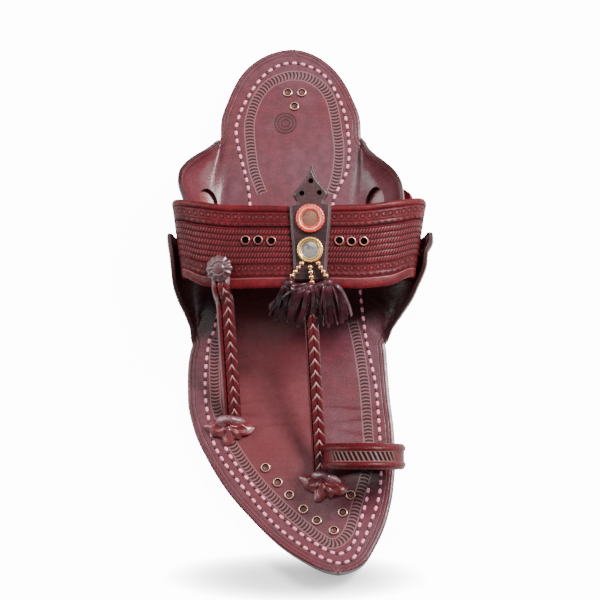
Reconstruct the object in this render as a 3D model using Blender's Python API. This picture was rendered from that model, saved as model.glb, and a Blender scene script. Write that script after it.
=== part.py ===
"""Kolhapuri sandal for the right foot.

The toe points along -Y, the big-toe side lies at +X and the floor is z = 0.
The origin is on the floor under the middle of the heel.
"""
import math
from collections import namedtuple

import bmesh
import bpy
import numpy as np

MM = 0.001

# Sole sizes
LENGTH = 278 * MM
HEEL_WIDTH = 73 * MM
BALL_WIDTH = 102 * MM
OUTSOLE_THICKNESS = 5.0 * MM
OUTSOLE_INSET = 0.6 * MM
HEEL_LIFT = 7.5 * MM
LIFT_INSET = 1.2 * MM
TOE_SPRING = 6.0 * MM
BED_THICKNESS = 2.8 * MM
SEAT_GAP = 0.3 * MM

# Places along the sole, as shares of the length counted from the back
HEEL_CENTRE = 0.15
LIFT_FRONT = 0.30
ARCH_START = 0.31
BALL_START = 0.60
BALL_END = 0.82
SLIT_REAR = 0.370
SLIT_FRONT = 0.399
SLIT_CROSSING = 0.75

# Ears of the footbed
EAR_FLARE = 25 * MM
EAR_HEIGHT = 25 * MM
EAR_HEM = 8 * MM
SLIT_DEPTH = 0.26
WINDOW_CENTRE = 0.312
WINDOW_LENGTH = 15 * MM
WINDOW_WIDTH = 11 * MM
WINDOW_TURN = math.radians(29)

# Instep band
BAND_THICKNESS = 2.4 * MM
BAND_LATERAL = 56.6 * MM
BAND_MEDIAL = 69.2 * MM
BAND_TAPER = 6.0 * MM
BAND_SHOULDER = 23 * MM
BAND_RISE_REAR = 45.5 * MM
BAND_RISE_FRONT = 42.5 * MM
BAND_SQUARENESS = 2.5
BAND_RELIEF = 0.6 * MM
EYELET_HOLE = 1.4 * MM

# Braids
ROSETTE_X = -30 * MM
BRAID_PITCH = 5.8 * MM
BRAID_RELIEF = 0.7 * MM
LATERAL_BRAID_WIDTH = 9.0 * MM
CENTRE_BRAID_WIDTH = 7.0 * MM
BRAID_THICKNESS = 3.2 * MM

# Toe ring
RING_WIDTH = 40.8 * MM
RING_HEIGHT = 37.6 * MM
RING_STRAP = 13 * MM
RING_WALL = 5.2 * MM
RING_GROOVE = 0.7 * MM
RING_X = 39.5 * MM
RING_PLACE = 0.787
RING_LEAN = 0.24

# Trims
TAB_LENGTH = 57 * MM
TAB_WIDTH = 20.4 * MM
TAB_THICKNESS = 2.0 * MM
TAB_X = 13.4 * MM
TAB_TAIL = 19.6 * MM
TAB_HOLE = 1.25 * MM
UPPER_MIRROR = 7.1 * MM
LOWER_MIRROR = 6.4 * MM
GLASS_SHARE = 0.62
MIRROR_THICKNESS = 1.7 * MM
ROSETTE_RADIUS = 6.5 * MM
ROSETTE_THICKNESS = 2.6 * MM
ROSETTE_SCALLOPS = 12
ROSETTE_PLACE = 0.78
BEAD_RADIUS = 1.45 * MM
BEADS_A_STRING = 4
KNOT_REACH = min(0.1255 * BALL_WIDTH, 0.04605 * LENGTH)
KNOT_HEIGHT = 6.5 * MM
KNOT_SEAT = 0.01547 * LENGTH
KNOT_ASIDE = {"lateral": -0.0147, "centre": 0.0176}
CUT_DEPTH = 6 * MM
EYELET_RADIUS = 2.4 * MM
EYELET_WALL = 0.95 * MM
EYELET_HEIGHT = 0.8 * MM
TASSEL_SPREAD = 20 * MM
TASSEL_REACH = 18 * MM
TASSEL_DROP = 13 * MM
TASSEL_LIFT = 3.6 * MM
LUMP_RADIUS = 3.0 * MM
BAR_WIDTH = 3.6 * MM
STRIP_WIDTH = 2.4 * MM
STRIP_THICKNESS = 1.3 * MM

Outline = namedtuple("Outline", "along lateral medial")
OUTLINE = (
    Outline(0.000, 0.000, 0.000),
    Outline(0.018, -0.230, 0.205),
    Outline(0.049, -0.355, 0.330),
    Outline(0.095, -0.440, 0.430),
    Outline(0.155, -0.500, 0.500),
    Outline(0.200, -0.497, 0.503),
    Outline(0.287, -0.452, 0.466),
    Outline(0.341, -0.445, 0.459),
    Outline(0.395, -0.450, 0.470),
    Outline(0.459, -0.454, 0.472),
    Outline(0.538, -0.466, 0.482),
    Outline(0.625, -0.495, 0.497),
    Outline(0.681, -0.490, 0.510),
    Outline(0.737, -0.455, 0.528),
    Outline(0.792, -0.383, 0.535),
    Outline(0.846, -0.290, 0.525),
    Outline(0.901, -0.159, 0.495),
    Outline(0.954, -0.006, 0.436),
    Outline(0.981, 0.109, 0.390),
    Outline(1.000, 0.265, 0.265),
)

Ear = namedtuple("Ear", "along lateral medial height")
EARS = (
    Ear(0.180, 0.00, 0.00, 0.00),
    Ear(0.213, 0.25, 0.13, 0.34),
    Ear(0.236, 0.51, 0.32, 0.58),
    Ear(0.258, 0.72, 0.56, 0.78),
    Ear(0.277, 0.83, 0.76, 0.90),
    Ear(0.295, 0.85, 0.88, 0.98),
    Ear(0.309, 0.83, 0.94, 1.00),
    Ear(0.338, 0.74, 0.98, 1.00),
    Ear(0.370, 0.72, 0.98, 0.98),
    Ear(0.399, 0.97, 1.46, 1.02),
    Ear(0.416, 0.92, 1.43, 1.03),
    Ear(0.433, 0.84, 1.29, 1.04),
    Ear(0.459, 0.72, 1.17, 1.02),
    Ear(0.488, 0.58, 0.92, 0.92),
    Ear(0.510, 0.42, 0.70, 0.76),
    Ear(0.531, 0.22, 0.42, 0.52),
    Ear(0.553, 0.06, 0.14, 0.22),
    Ear(0.575, 0.00, 0.00, 0.00),
)

BandEdge = namedtuple("BandEdge", "reach rear front")
BAND_EDGES = (
    BandEdge(0.00, 0.377, 0.518),
    BandEdge(0.50, 0.372, 0.518),
    BandEdge(0.80, 0.358, 0.509),
    BandEdge(1.00, 0.341, 0.481),
)

TongueEdge = namedtuple("TongueEdge", "turn rear front")
TONGUE_EDGES = (
    TongueEdge(0.00, 0.282, 0.455),
    TongueEdge(0.40, 0.284, 0.458),
    TongueEdge(0.55, 0.300, 0.464),
    TongueEdge(0.68, 0.336, 0.471),
    TongueEdge(1.00, 0.341, 0.481),
)

BandRow = namedtuple("BandRow", "across lift")
BAND_ROWS = (
    BandRow(0.00, 0.0),
    BandRow(0.07, 0.0),
    BandRow(0.09, -1.0),
    BandRow(0.12, 0.0),
    BandRow(0.27, 0.0),
    BandRow(0.30, -1.0),
    BandRow(0.33, 0.0),
    BandRow(0.42, 0.0),
    BandRow(0.50, 0.0),
    BandRow(0.58, 0.0),
    BandRow(0.66, 0.0),
    BandRow(0.76, 0.0),
    BandRow(0.90, -1.0),
    BandRow(0.93, 0.0),
    BandRow(1.00, 0.0),
)

Tab = namedtuple("Tab", "along half")
TAB_OUTLINE = (
    Tab(0.000, 0.025),
    Tab(0.045, 0.050),
    Tab(0.105, 0.125),
    Tab(0.168, 0.245),
    Tab(0.235, 0.412),
    Tab(0.256, 0.420),
    Tab(0.310, 0.335),
    Tab(0.335, 0.335),
    Tab(0.350, 0.500),
    Tab(0.550, 0.470),
    Tab(0.730, 0.420),
    Tab(1.000, 0.390),
)

Spot = namedtuple("Spot", "along across")
TOE_EYELETS = (
    Spot(0.807, -0.097),
    Spot(0.834, -0.036),
    Spot(0.857, 0.021),
    Spot(0.883, 0.091),
    Spot(0.904, 0.157),
    Spot(0.922, 0.240),
    Spot(0.889, 0.282),
    Spot(0.857, 0.319),
)
HEEL_EYELETS = (
    Spot(0.0896, -0.023),
    Spot(0.0896, 0.078),
    Spot(0.1176, 0.027),
)
TAB_HOLES = (
    Spot(0.150, 0.0),
    Spot(0.255, -0.215),
    Spot(0.255, 0.215),
)
BAND_EYELETS = (
    Spot(0.43, -1.554),
    Spot(0.43, -1.250),
    Spot(0.44, -0.936),
    Spot(0.44, 0.686),
    Spot(0.45, 0.975),
    Spot(0.45, 1.265),
)

Waypoint = namedtuple("Waypoint", "across along lift")
LATERAL_BRAID = (
    Waypoint(-0.286, 0.538, 0.742),
    Waypoint(-0.280, 0.575, 0.635),
    Waypoint(-0.273, 0.632, 0.400),
    Waypoint(-0.267, 0.686, 0.169),
    Waypoint(-0.265, 0.717, 0.021),
)
CENTRE_BRAID = (
    Waypoint(0.133, 0.550, 0.871),
    Waypoint(0.139, 0.600, 0.718),
    Waypoint(0.151, 0.680, 0.482),
    Waypoint(0.161, 0.755, 0.235),
    Waypoint(0.169, 0.821, 0.021),
)

Leaf = namedtuple("Leaf", "angle reach")
KNOT_LEAVES = (
    Leaf(0.00, 1.00),
    Leaf(0.09, 0.66),
    Leaf(0.17, 0.46),
    Leaf(0.25, 0.78),
    Leaf(0.33, 0.46),
    Leaf(0.41, 0.66),
    Leaf(0.50, 1.00),
    Leaf(0.58, 0.42),
    Leaf(0.67, 0.26),
    Leaf(0.83, 0.26),
    Leaf(0.92, 0.42),
    Leaf(1.00, 1.00),
)

Strip = namedtuple("Strip", "root root_ahead tip tip_ahead drop")
TASSEL_STRIPS = (
    Strip(-0.55, 0.01, -1.02, 0.59, 0.85),
    Strip(-0.52, 0.04, -0.87, 0.76, 0.92),
    Strip(-0.50, 0.07, -0.72, 0.90, 0.96),
    Strip(-0.47, 0.07, -0.57, 0.73, 0.92),
    Strip(-0.45, 0.07, -0.42, 0.84, 0.96),
    Strip(-0.06, 0.18, -0.30, 0.87, 0.81),
    Strip(-0.02, 0.18, -0.15, 1.01, 0.81),
    Strip(0.02, 0.18, 0.03, 0.93, 0.81),
    Strip(0.05, 0.18, 0.18, 0.82, 0.81),
    Strip(0.41, 0.04, 0.31, 0.93, 0.96),
    Strip(0.43, 0.04, 0.48, 0.96, 0.96),
    Strip(0.46, 0.04, 0.66, 1.01, 1.00),
    Strip(0.48, 0.01, 0.81, 0.84, 1.00),
    Strip(0.51, -0.02, 0.98, 0.76, 1.04),
)
TASSEL_BAR = Strip(-0.57, 0.09, 0.53, 0.09, 0.0)

Lump = namedtuple("Lump", "across ahead")
TASSEL_LUMPS = (
    Lump(-0.49, 0.03),
    Lump(-0.01, 0.15),
    Lump(0.45, 0.01),
)

String = namedtuple("String", "start start_across end end_across")
BEAD_STRINGS = (
    String(-3.8 * MM, 0.73, -8.8 * MM, 0.89),
    String(0.0, 0.76, 0.1 * MM, 0.95),
    String(3.8 * MM, 0.73, 7.6 * MM, 0.89),
)


def column(rows, name):
    """One column of a table as an array."""
    return np.array([getattr(row, name) for row in rows], dtype=float)


def smooth(share):
    """Step that eases from 0 to 1."""
    share = np.clip(share, 0.0, 1.0)
    return share * share * (3.0 - 2.0 * share)


def monotone(xs, ys, at):
    """Cubic curve through the rows that never overshoots them."""
    at = np.clip(at, xs[0], xs[-1])
    step = np.diff(xs)
    rise = np.diff(ys) / step
    slope = np.zeros(len(xs))
    slope[0] = rise[0]
    slope[-1] = rise[-1]
    both = rise[:-1] * rise[1:]
    mean = 2.0 * both / np.where(both > 0.0, rise[:-1] + rise[1:], 1.0)
    slope[1:-1] = np.where(both > 0.0, mean, 0.0)
    k = np.clip(np.searchsorted(xs, at) - 1, 0, len(step) - 1)
    t = (at - xs[k]) / step[k]
    value = (2 * t**3 - 3 * t**2 + 1) * ys[k] + (t**3 - 2 * t**2 + t) * step[k] * slope[k]
    return value + (3 * t**2 - 2 * t**3) * ys[k + 1] + (t**3 - t**2) * step[k] * slope[k + 1]


def table(rows, key, name, at):
    """A column of a table, read between its rows."""
    return monotone(column(rows, key), column(rows, name), np.asarray(at, dtype=float))


def place(along):
    """Y of a place along the sole."""
    return (HEEL_CENTRE - np.asarray(along, dtype=float)) * LENGTH


def share_at(y):
    """Place along the sole at a Y."""
    return HEEL_CENTRE - np.asarray(y, dtype=float) / LENGTH


def edge(along, side):
    """X of the sole's edge, on a scale that makes both ends round."""
    turn = np.arccos(1.0 - 2.0 * column(OUTLINE, "along"))
    at = np.arccos(1.0 - 2.0 * np.clip(along, 0.0, 1.0))
    width = HEEL_WIDTH + (BALL_WIDTH - HEEL_WIDTH) * smooth((np.asarray(along) - 0.35) / 0.25)
    name = "lateral" if side < 0 else "medial"
    return monotone(turn, column(OUTLINE, name), at) * width


def ground(along):
    """Height of the outsole's underside: raised at the heel, flat at the ball, sprung at the toe."""
    arch = 1.0 - smooth((np.asarray(along) - ARCH_START) / (BALL_START - ARCH_START))
    spring = np.clip((np.asarray(along) - BALL_END) / (1.0 - BALL_END), 0.0, 1.0)
    return (HEEL_LIFT + SEAT_GAP) * arch + TOE_SPRING * spring**2


def bed(along):
    """Height of the middle of the footbed."""
    return ground(along) + OUTSOLE_THICKNESS + SEAT_GAP + BED_THICKNESS / 2


def bed_top(along):
    """Height of the footbed's upper face."""
    return bed(along) + BED_THICKNESS / 2


def flare(along, side):
    """Reach of an ear beyond the sole's edge."""
    name = "lateral" if side < 0 else "medial"
    return EAR_FLARE * table(EARS, "along", name, along)


def ear_height(along):
    """Height of an ear's rim over the bed."""
    return EAR_HEIGHT * table(EARS, "along", "height", along)


def band_half(along, side):
    """Distance of the band's shoulder from the middle line."""
    width = BAND_LATERAL if side < 0 else BAND_MEDIAL
    first = BAND_EDGES[-1].rear
    last = BAND_EDGES[-1].front
    return width - BAND_TAPER * (np.asarray(along) - first) / (last - first)


def band_top(reach, across):
    """Middle surface of the band's arch, across from its rear to its front edge."""
    reach = np.asarray(reach, dtype=float)
    across = np.asarray(across, dtype=float)
    inner = np.clip(across, 0.0, 1.0)
    rear = table(BAND_EDGES, "reach", "rear", np.abs(reach))
    front = table(BAND_EDGES, "reach", "front", np.abs(reach))
    along = rear + (front - rear) * inner
    medial = band_half(along, 1)
    lateral = band_half(along, -1)
    x = (medial - lateral) / 2 + reach * (medial + lateral) / 2
    rise = BAND_RISE_REAR + (BAND_RISE_FRONT - BAND_RISE_REAR) * inner
    arch = (1.0 - np.minimum(np.abs(reach), 1.0) ** BAND_SQUARENESS) ** (1.0 / BAND_SQUARENESS)
    z = bed(along) + BAND_SHOULDER + (rise - BAND_SHOULDER) * arch
    return np.stack([x, place(along), z], axis=-1)


def band_end(turn, across, side):
    """Middle surface of a band end: outside the rear lobe of its ear, inside the front lobe."""
    rear = table(TONGUE_EDGES, "turn", "rear", turn)
    front = table(TONGUE_EDGES, "turn", "front", turn)
    along = rear + (front - rear) * np.asarray(across)
    clear = (BAND_THICKNESS + BED_THICKNESS) / 2 + 2 * SEAT_GAP
    crossing = SLIT_CROSSING * (SLIT_FRONT - SLIT_REAR)
    inside = 2.0 * smooth((along - SLIT_REAR) / crossing) - 1.0
    root_x = edge(along, side)
    root_z = bed(along) + clear * inside
    reach = band_half(along, side) - np.abs(root_x)
    rise = bed(along) + BAND_SHOULDER - root_z
    angle = np.asarray(turn) * math.pi / 2
    x = root_x + side * reach * np.sin(angle)
    z = root_z + rise * (1.0 - np.cos(angle))
    return np.stack([x, place(along), z], axis=-1)


def unit(vectors):
    """Vectors scaled to length one."""
    return vectors / np.linalg.norm(vectors, axis=-1, keepdims=True)


def normals(grid):
    """Unit normals of a grid of points, from its two directions."""
    down = np.gradient(grid, axis=0)
    right = np.gradient(grid, axis=1)
    return unit(np.cross(down, right))


def material(name, colour, roughness, metallic=0.0):
    """A plain Principled material."""
    made = bpy.data.materials.new(name)
    made.use_nodes = True
    shader = made.node_tree.nodes["Principled BSDF"]
    shader.inputs["Base Color"].default_value = (*colour, 1.0)
    shader.inputs["Roughness"].default_value = roughness
    shader.inputs["Metallic"].default_value = metallic
    return made


def solid(name, points, faces, finish=None, crease=40):
    """A closed object from points and faces, facing outwards and shaded smooth."""
    mesh = bpy.data.meshes.new(name)
    mesh.from_pydata(np.asarray(points).tolist(), [], faces)
    shape = bmesh.new()
    shape.from_mesh(mesh)
    bmesh.ops.triangulate(shape, faces=shape.faces)
    bmesh.ops.recalc_face_normals(shape, faces=shape.faces)
    shape.to_mesh(mesh)
    shape.free()
    mesh.shade_smooth()
    mesh.set_sharp_from_angle(angle=math.radians(crease))
    made = bpy.data.objects.new(name, mesh)
    bpy.context.scene.collection.objects.link(made)
    if finish is not None:
        mesh.materials.append(finish)
    return made


def slab(name, upper, lower, finish=None, crease=40):
    """A closed sheet between two grids of the same shape."""
    rows, cols = upper.shape[:2]
    count = rows * cols
    points = np.concatenate([upper.reshape(-1, 3), lower.reshape(-1, 3)])
    faces = []
    for i in range(rows - 1):
        for j in range(cols - 1):
            a = i * cols + j
            faces.append((a, a + 1, a + cols + 1, a + cols))
            faces.append((count + a, count + a + cols, count + a + cols + 1, count + a + 1))
    rim = [j for j in range(cols)]
    rim += [i * cols + cols - 1 for i in range(1, rows)]
    rim += [(rows - 1) * cols + j for j in range(cols - 2, -1, -1)]
    rim += [i * cols for i in range(rows - 2, 0, -1)]
    for k, a in enumerate(rim):
        b = rim[(k + 1) % len(rim)]
        faces.append((a, count + a, count + b, b))
    return solid(name, points, faces, finish, crease)


def tube(name, rings, finish=None, closed=False, crease=40):
    """A closed body through rings of points, with flat ends or closed on itself."""
    count, sides = rings.shape[:2]
    faces = []
    for i in range(count if closed else count - 1):
        for j in range(sides):
            a = i * sides + j
            b = i * sides + (j + 1) % sides
            c = ((i + 1) % count) * sides + (j + 1) % sides
            d = ((i + 1) % count) * sides + j
            faces.append((a, b, c, d))
    if not closed:
        faces.append(tuple(range(sides)))
        faces.append(tuple((count - 1) * sides + j for j in range(sides)))
    return solid(name, rings.reshape(-1, 3), faces, finish, crease)


def disc(name, rings, finish=None, crease=40):
    """A closed body from rings of points that end in a point above and a point below."""
    count, sides = rings.shape[:2]
    top = rings[0].mean(axis=0)
    bottom = rings[-1].mean(axis=0)
    points = np.concatenate([rings.reshape(-1, 3), [top, bottom]])
    faces = []
    for j in range(sides):
        k = (j + 1) % sides
        faces.append((j, k, count * sides))
        faces.append(((count - 1) * sides + k, (count - 1) * sides + j, count * sides + 1))
        for i in range(count - 1):
            faces.append((i * sides + j, i * sides + k, (i + 1) * sides + k, (i + 1) * sides + j))
    return solid(name, points, faces, finish, crease)


def cut(target, cutter, operation="DIFFERENCE"):
    """Apply a cutter, or join a solid on, and remove the helper."""
    change = target.modifiers.new("change", "BOOLEAN")
    change.operation = operation
    change.solver = "EXACT"
    change.object = cutter
    graph = bpy.context.evaluated_depsgraph_get()
    mesh = bpy.data.meshes.new_from_object(target.evaluated_get(graph))
    target.modifiers.clear()
    old = target.data
    mesh.name = target.name
    target.data = mesh
    bpy.data.meshes.remove(old)
    bpy.data.objects.remove(cutter)


def merge_flats(target):
    """Join the faces that lie in one plane, and split them again into few triangles."""
    shape = bmesh.new()
    shape.from_mesh(target.data)
    bmesh.ops.dissolve_limit(shape, angle_limit=math.radians(0.3), verts=shape.verts, edges=shape.edges)
    bmesh.ops.triangulate(shape, faces=shape.faces)
    shape.to_mesh(target.data)
    shape.free()


def prism(name, outline, centre, right, up, depth):
    """A cutter: an outline in a plane, run to both sides of it."""
    along = np.cross(right, up)
    flat = centre + outline[:, :1] * right + outline[:, 1:] * up
    return tube(name, np.stack([flat - along * depth, flat + along * depth]))


def circle(radius, sides):
    """Corners of a round outline."""
    turn = np.linspace(0.0, 2 * math.pi, sides, endpoint=False)
    return radius * np.stack([np.cos(turn), np.sin(turn)], axis=-1)


def stations(marks, counts):
    """Places between marks, each stretch with its own number of steps."""
    parts = [np.linspace(a, b, n, endpoint=False) for a, b, n in zip(marks, marks[1:], counts)]
    return np.concatenate(parts + [[marks[-1]]])


def sole_stations():
    """Places along the sole, close together at its round ends."""
    ends = (1.0 - np.cos(np.linspace(0.08, 1.0, 7) * math.pi / 2)) * ARCH_START / 2
    middle = np.linspace(ends[-1], 1.0 - ends[-1], 24)[1:-1]
    return np.concatenate([ends, middle, 1.0 - ends[::-1]])


def build_outsole(finish):
    """Thick leather plate between the ground line and the footbed."""
    along = sole_stations()
    y = place(along)
    left = edge(along, -1) + OUTSOLE_INSET
    right = edge(along, 1) - OUTSOLE_INSET
    low = ground(along)
    rings = []
    bevel = 0.7 * MM
    for x, inset, lift in (
        (left, bevel, 0.0), (left, 0.0, bevel), (left, 0.0, OUTSOLE_THICKNESS - bevel),
        (left, bevel, OUTSOLE_THICKNESS), (right, -bevel, OUTSOLE_THICKNESS),
        (right, 0.0, OUTSOLE_THICKNESS - bevel), (right, 0.0, bevel), (right, -bevel, 0.0),
    ):
        rings.append(np.stack([x + inset, y, low + lift], axis=-1))
    return tube("outsole", np.stack(rings, axis=1), finish)


def build_heel_lift(finish):
    """Stacked leather under the heel, flat on the floor."""
    start = 0.006
    along = start + (LIFT_FRONT - start) * (1.0 - np.cos(np.linspace(0.05, 1.0, 15) * math.pi / 2))
    y = place(along)
    left = edge(along, -1) + LIFT_INSET
    right = edge(along, 1) - LIFT_INSET
    rings = []
    for x, lift in ((left, 0.0), (left, HEEL_LIFT), (right, HEEL_LIFT), (right, 0.0)):
        rings.append(np.stack([x, y, np.full_like(y, lift)], axis=-1))
    return tube("heel_lift", np.stack(rings, axis=1), finish)


def bed_points(along, side, beyond):
    """Points of the footbed past its edge: flat before it, then up the ear's quarter turn."""
    reach = flare(along, side)
    rise = ear_height(along)
    length = (reach + rise) * math.pi / 4
    turn = np.clip(beyond, 0.0, None) / np.maximum(length, 1e-9) * math.pi / 2
    x = edge(along, side) + side * (np.minimum(beyond, 0.0) + reach * np.sin(turn))
    z = bed(along) + rise * (1.0 - np.cos(turn))
    return np.stack([x, place(along), z], axis=-1)


def bed_grid(along):
    """Middle surface of the footbed with both ears, one row for each place along it."""
    columns = []
    for side in (-1, 1):
        length = (flare(along, side) + ear_height(along)) * math.pi / 4
        width = edge(along, 1) - edge(along, -1)
        hem = np.minimum(EAR_HEM, 0.3 * width)
        shares = np.linspace(0.0, 1.0, 7)
        part = [bed_points(along, side, (length + hem) * share - hem) for share in shares]
        columns.append(part[::-1] if side < 0 else part)
    first, last = columns[0][-1], columns[1][0]
    middle = [first + (last - first) * 0.5]
    return np.stack(columns[0] + middle + columns[1], axis=1)


def build_footbed(finish):
    """Top sheet whose sides run up as ears, each with a slit and a pointed window."""
    marks = (0.002, 0.06, EARS[0].along, SLIT_REAR, SLIT_FRONT, EARS[-1].along, 0.93, 0.998)
    along = stations(marks, (6, 2, 11, 3, 10, 5, 7))
    middle = bed_grid(along)
    out = normals(middle) * BED_THICKNESS / 2
    made = slab("footbed", middle + out, middle - out, finish)
    for side in (-1, 1):
        cut(made, slit_cutter(side))
        cut(made, window_cutter(side))
    merge_flats(made)
    return made


def slit_cutter(side):
    """A block across an ear, from the bottom of its slit up."""
    rear = place(SLIT_REAR)
    front = place(SLIT_FRONT)
    bottom = bed((SLIT_REAR + SLIT_FRONT) / 2) + EAR_HEIGHT * SLIT_DEPTH
    top = bottom + 2 * EAR_HEIGHT
    outline = np.array([(front, bottom), (rear, bottom), (rear, top), (front, top)])
    centre = np.array([side * BAND_MEDIAL * 0.85, 0.0, 0.0])
    return prism("slit", outline, centre, np.array([0, 1.0, 0]), np.array([0, 0, 1.0]), BAND_MEDIAL / 2)


def window_cutter(side):
    """A pointed arch square to the ear's face."""
    along = np.array([WINDOW_CENTRE])
    reach = flare(along, side)
    rise = ear_height(along)
    length = (reach + rise) * math.pi / 4
    share = WINDOW_TURN / (math.pi / 2)
    centre = bed_points(along, side, length * share)[0]
    slope = unit(np.array([side * reach[0] * math.cos(WINDOW_TURN), 0.0, rise[0] * math.sin(WINDOW_TURN)]))
    turn = np.linspace(-0.5, 0.5, 9) * math.pi
    arch = np.stack([np.sin(turn) * WINDOW_WIDTH / 2, np.cos(turn) ** 1.2 * WINDOW_LENGTH / 2], axis=-1)
    base = np.array([(WINDOW_WIDTH / 2, -WINDOW_LENGTH / 2), (-WINDOW_WIDTH / 2, -WINDOW_LENGTH / 2)])
    return prism("window", np.concatenate([arch, base]), centre, slope, np.array([0, 1.0, 0]), 3 * MM)


def band_middle(ends=7, arch=17):
    """Middle surface of the band from its lateral to its medial end."""
    across = column(BAND_ROWS, "across")
    rows = []
    for turn in np.linspace(0.0, 1.0, ends)[:-1]:
        rows.append(band_end(np.full_like(across, turn), across, -1))
    for angle in np.linspace(-0.5, 0.5, arch) * math.pi:
        reach = np.sign(angle) * abs(math.sin(angle)) ** (2.0 / BAND_SQUARENESS)
        rows.append(band_top(np.full_like(across, reach), across))
    for turn in np.linspace(1.0, 0.0, ends)[1:]:
        rows.append(band_end(np.full_like(across, turn), across, 1))
    return np.stack(rows)


def band_skin(reach, across, lift):
    """Points over the band's upper face, and the way out of it."""
    step = 0.01
    here = band_top(reach, across)
    side = band_top(np.asarray(reach) + step, across) - here
    front = band_top(reach, np.clip(across, 0, 1 - step) + step) - band_top(reach, np.clip(across, 0, 1 - step))
    beyond = np.asarray(across) - np.clip(across, 0.0, 1.0)
    out = unit(np.cross(front, side))
    here = here + front / step * beyond[..., None]
    return here + out * (BAND_THICKNESS / 2 + np.asarray(lift))[..., None], out


def band_reach(x, across):
    """Reach on the band's arch at an X."""
    along = BAND_EDGES[0].rear + (BAND_EDGES[0].front - BAND_EDGES[0].rear) * np.clip(across, 0, 1)
    medial = band_half(along, 1)
    lateral = band_half(along, -1)
    return (np.asarray(x) - (medial - lateral) / 2) / ((medial + lateral) / 2)


def eyelet_place(spot, lift):
    """Point of a band eyelet and the way out of the band, beside the tab."""
    return band_skin(band_reach(TAB_X + spot.across * TAB_WIDTH, spot.along), spot.along, lift)


def build_band(finish):
    """Instep band with raised strips, six round holes and a notch above each slit."""
    middle = band_middle()
    out = -normals(middle)
    lift = column(BAND_ROWS, "lift") * BAND_RELIEF
    upper = middle + out * (BAND_THICKNESS / 2 + lift)[None, :, None]
    made = slab("upper", upper, middle - out * BAND_THICKNESS / 2, finish)
    for side in (-1, 1):
        cut(made, notch_cutter(side))
    for spot in BAND_EYELETS:
        centre, out = eyelet_place(spot, 0.0)
        right = unit(np.cross(np.array([0, 1.0, 0]), out))
        cut(made, prism("hole", circle(EYELET_HOLE, 8), centre, right, np.cross(out, right), CUT_DEPTH))
    return made


def notch_cutter(side):
    """A block that parts the two tongues of a band end above the slit of the ear."""
    spare = 0.5 * MM
    rear = place(SLIT_REAR) + spare
    front = place(SLIT_FRONT) - spare
    top = bed((SLIT_REAR + SLIT_FRONT) / 2) + EAR_HEIGHT * SLIT_DEPTH + 1.6 * MM
    outline = np.array([(front, -spare), (rear, -spare), (rear, top), (front, top)])
    centre = np.array([side * BAND_MEDIAL * 0.85, 0.0, 0.0])
    return prism("notch", outline, centre, np.array([0, 1.0, 0]), np.array([0, 0, 1.0]), BAND_MEDIAL / 2)


def run_through(points, count):
    """Even points on a smooth curve through a few chosen ones."""
    points = np.asarray(points, dtype=float)
    steps = np.linalg.norm(np.diff(points, axis=0), axis=1)
    far = np.concatenate([[0.0], np.cumsum(steps)])
    at = np.linspace(0.0, far[-1], count)
    return np.stack([monotone(far, points[:, k], at) for k in range(3)], axis=-1)


def braid_path(rows, start):
    """Middle line of a braid: from its start on the band down to the footbed."""
    points = list(start)
    for row in rows:
        lift = row.lift * BAND_RISE_FRONT + BRAID_THICKNESS / 2
        points.append((row.across * BALL_WIDTH, place(row.along), bed_top(row.along) + lift))
    return points


def build_braid(points, width):
    """A flat strap with raised slanting strips, like a plait."""
    far = float(np.sum(np.linalg.norm(np.diff(np.asarray(points), axis=0), axis=1)))
    turns = max(3, round(far / BRAID_PITCH))
    line = run_through(points, 3 * turns + 1)
    ahead = unit(np.gradient(line, axis=0))
    right = unit(np.cross(ahead, np.array([0, 0, 1.0])))
    up = np.cross(right, ahead)
    step = np.arange(len(line)) / 3.0
    rings = []
    for q in (-1.0, -0.55, 0.0, 0.55, 1.0):
        raised = np.abs(((step + 0.34 * abs(q)) % 1.0) - 0.5) * 2.0 * BRAID_RELIEF
        fall = 0.35 * abs(q) ** 2 * BRAID_THICKNESS
        height = (BRAID_THICKNESS / 2 - fall + raised - BRAID_RELIEF)[:, None]
        rings.append(line + right * q * width / 2 + up * height)
    for q in (0.9, 0.0, -0.9):
        rings.append(line + right * q * width / 2 - up * BRAID_THICKNESS / 2)
    return tube("braid", np.stack(rings, axis=1))


def build_upper(finish):
    """Instep band with the two braids joined on."""
    made = build_band(finish)
    top = []
    for across in (0.72, 0.86, 1.02):
        point, _ = band_skin(band_reach(ROSETTE_X, across), across, BRAID_THICKNESS / 2 - 0.4 * MM)
        top.append(tuple(point))
    cut(made, build_braid(braid_path(LATERAL_BRAID, top), LATERAL_BRAID_WIDTH), "UNION")
    under = []
    for across in (0.86, 1.0):
        lift = -BAND_THICKNESS - BRAID_THICKNESS / 2 + 0.5 * MM
        point, _ = band_skin(band_reach(TAB_X, across), across, lift)
        under.append(tuple(point))
    cut(made, build_braid(braid_path(CENTRE_BRAID, under), CENTRE_BRAID_WIDTH), "UNION")
    mesh = made.data
    mesh.materials.clear()
    mesh.materials.append(finish)
    mesh.shade_smooth()
    mesh.set_sharp_from_angle(angle=math.radians(35))
    return made


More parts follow.
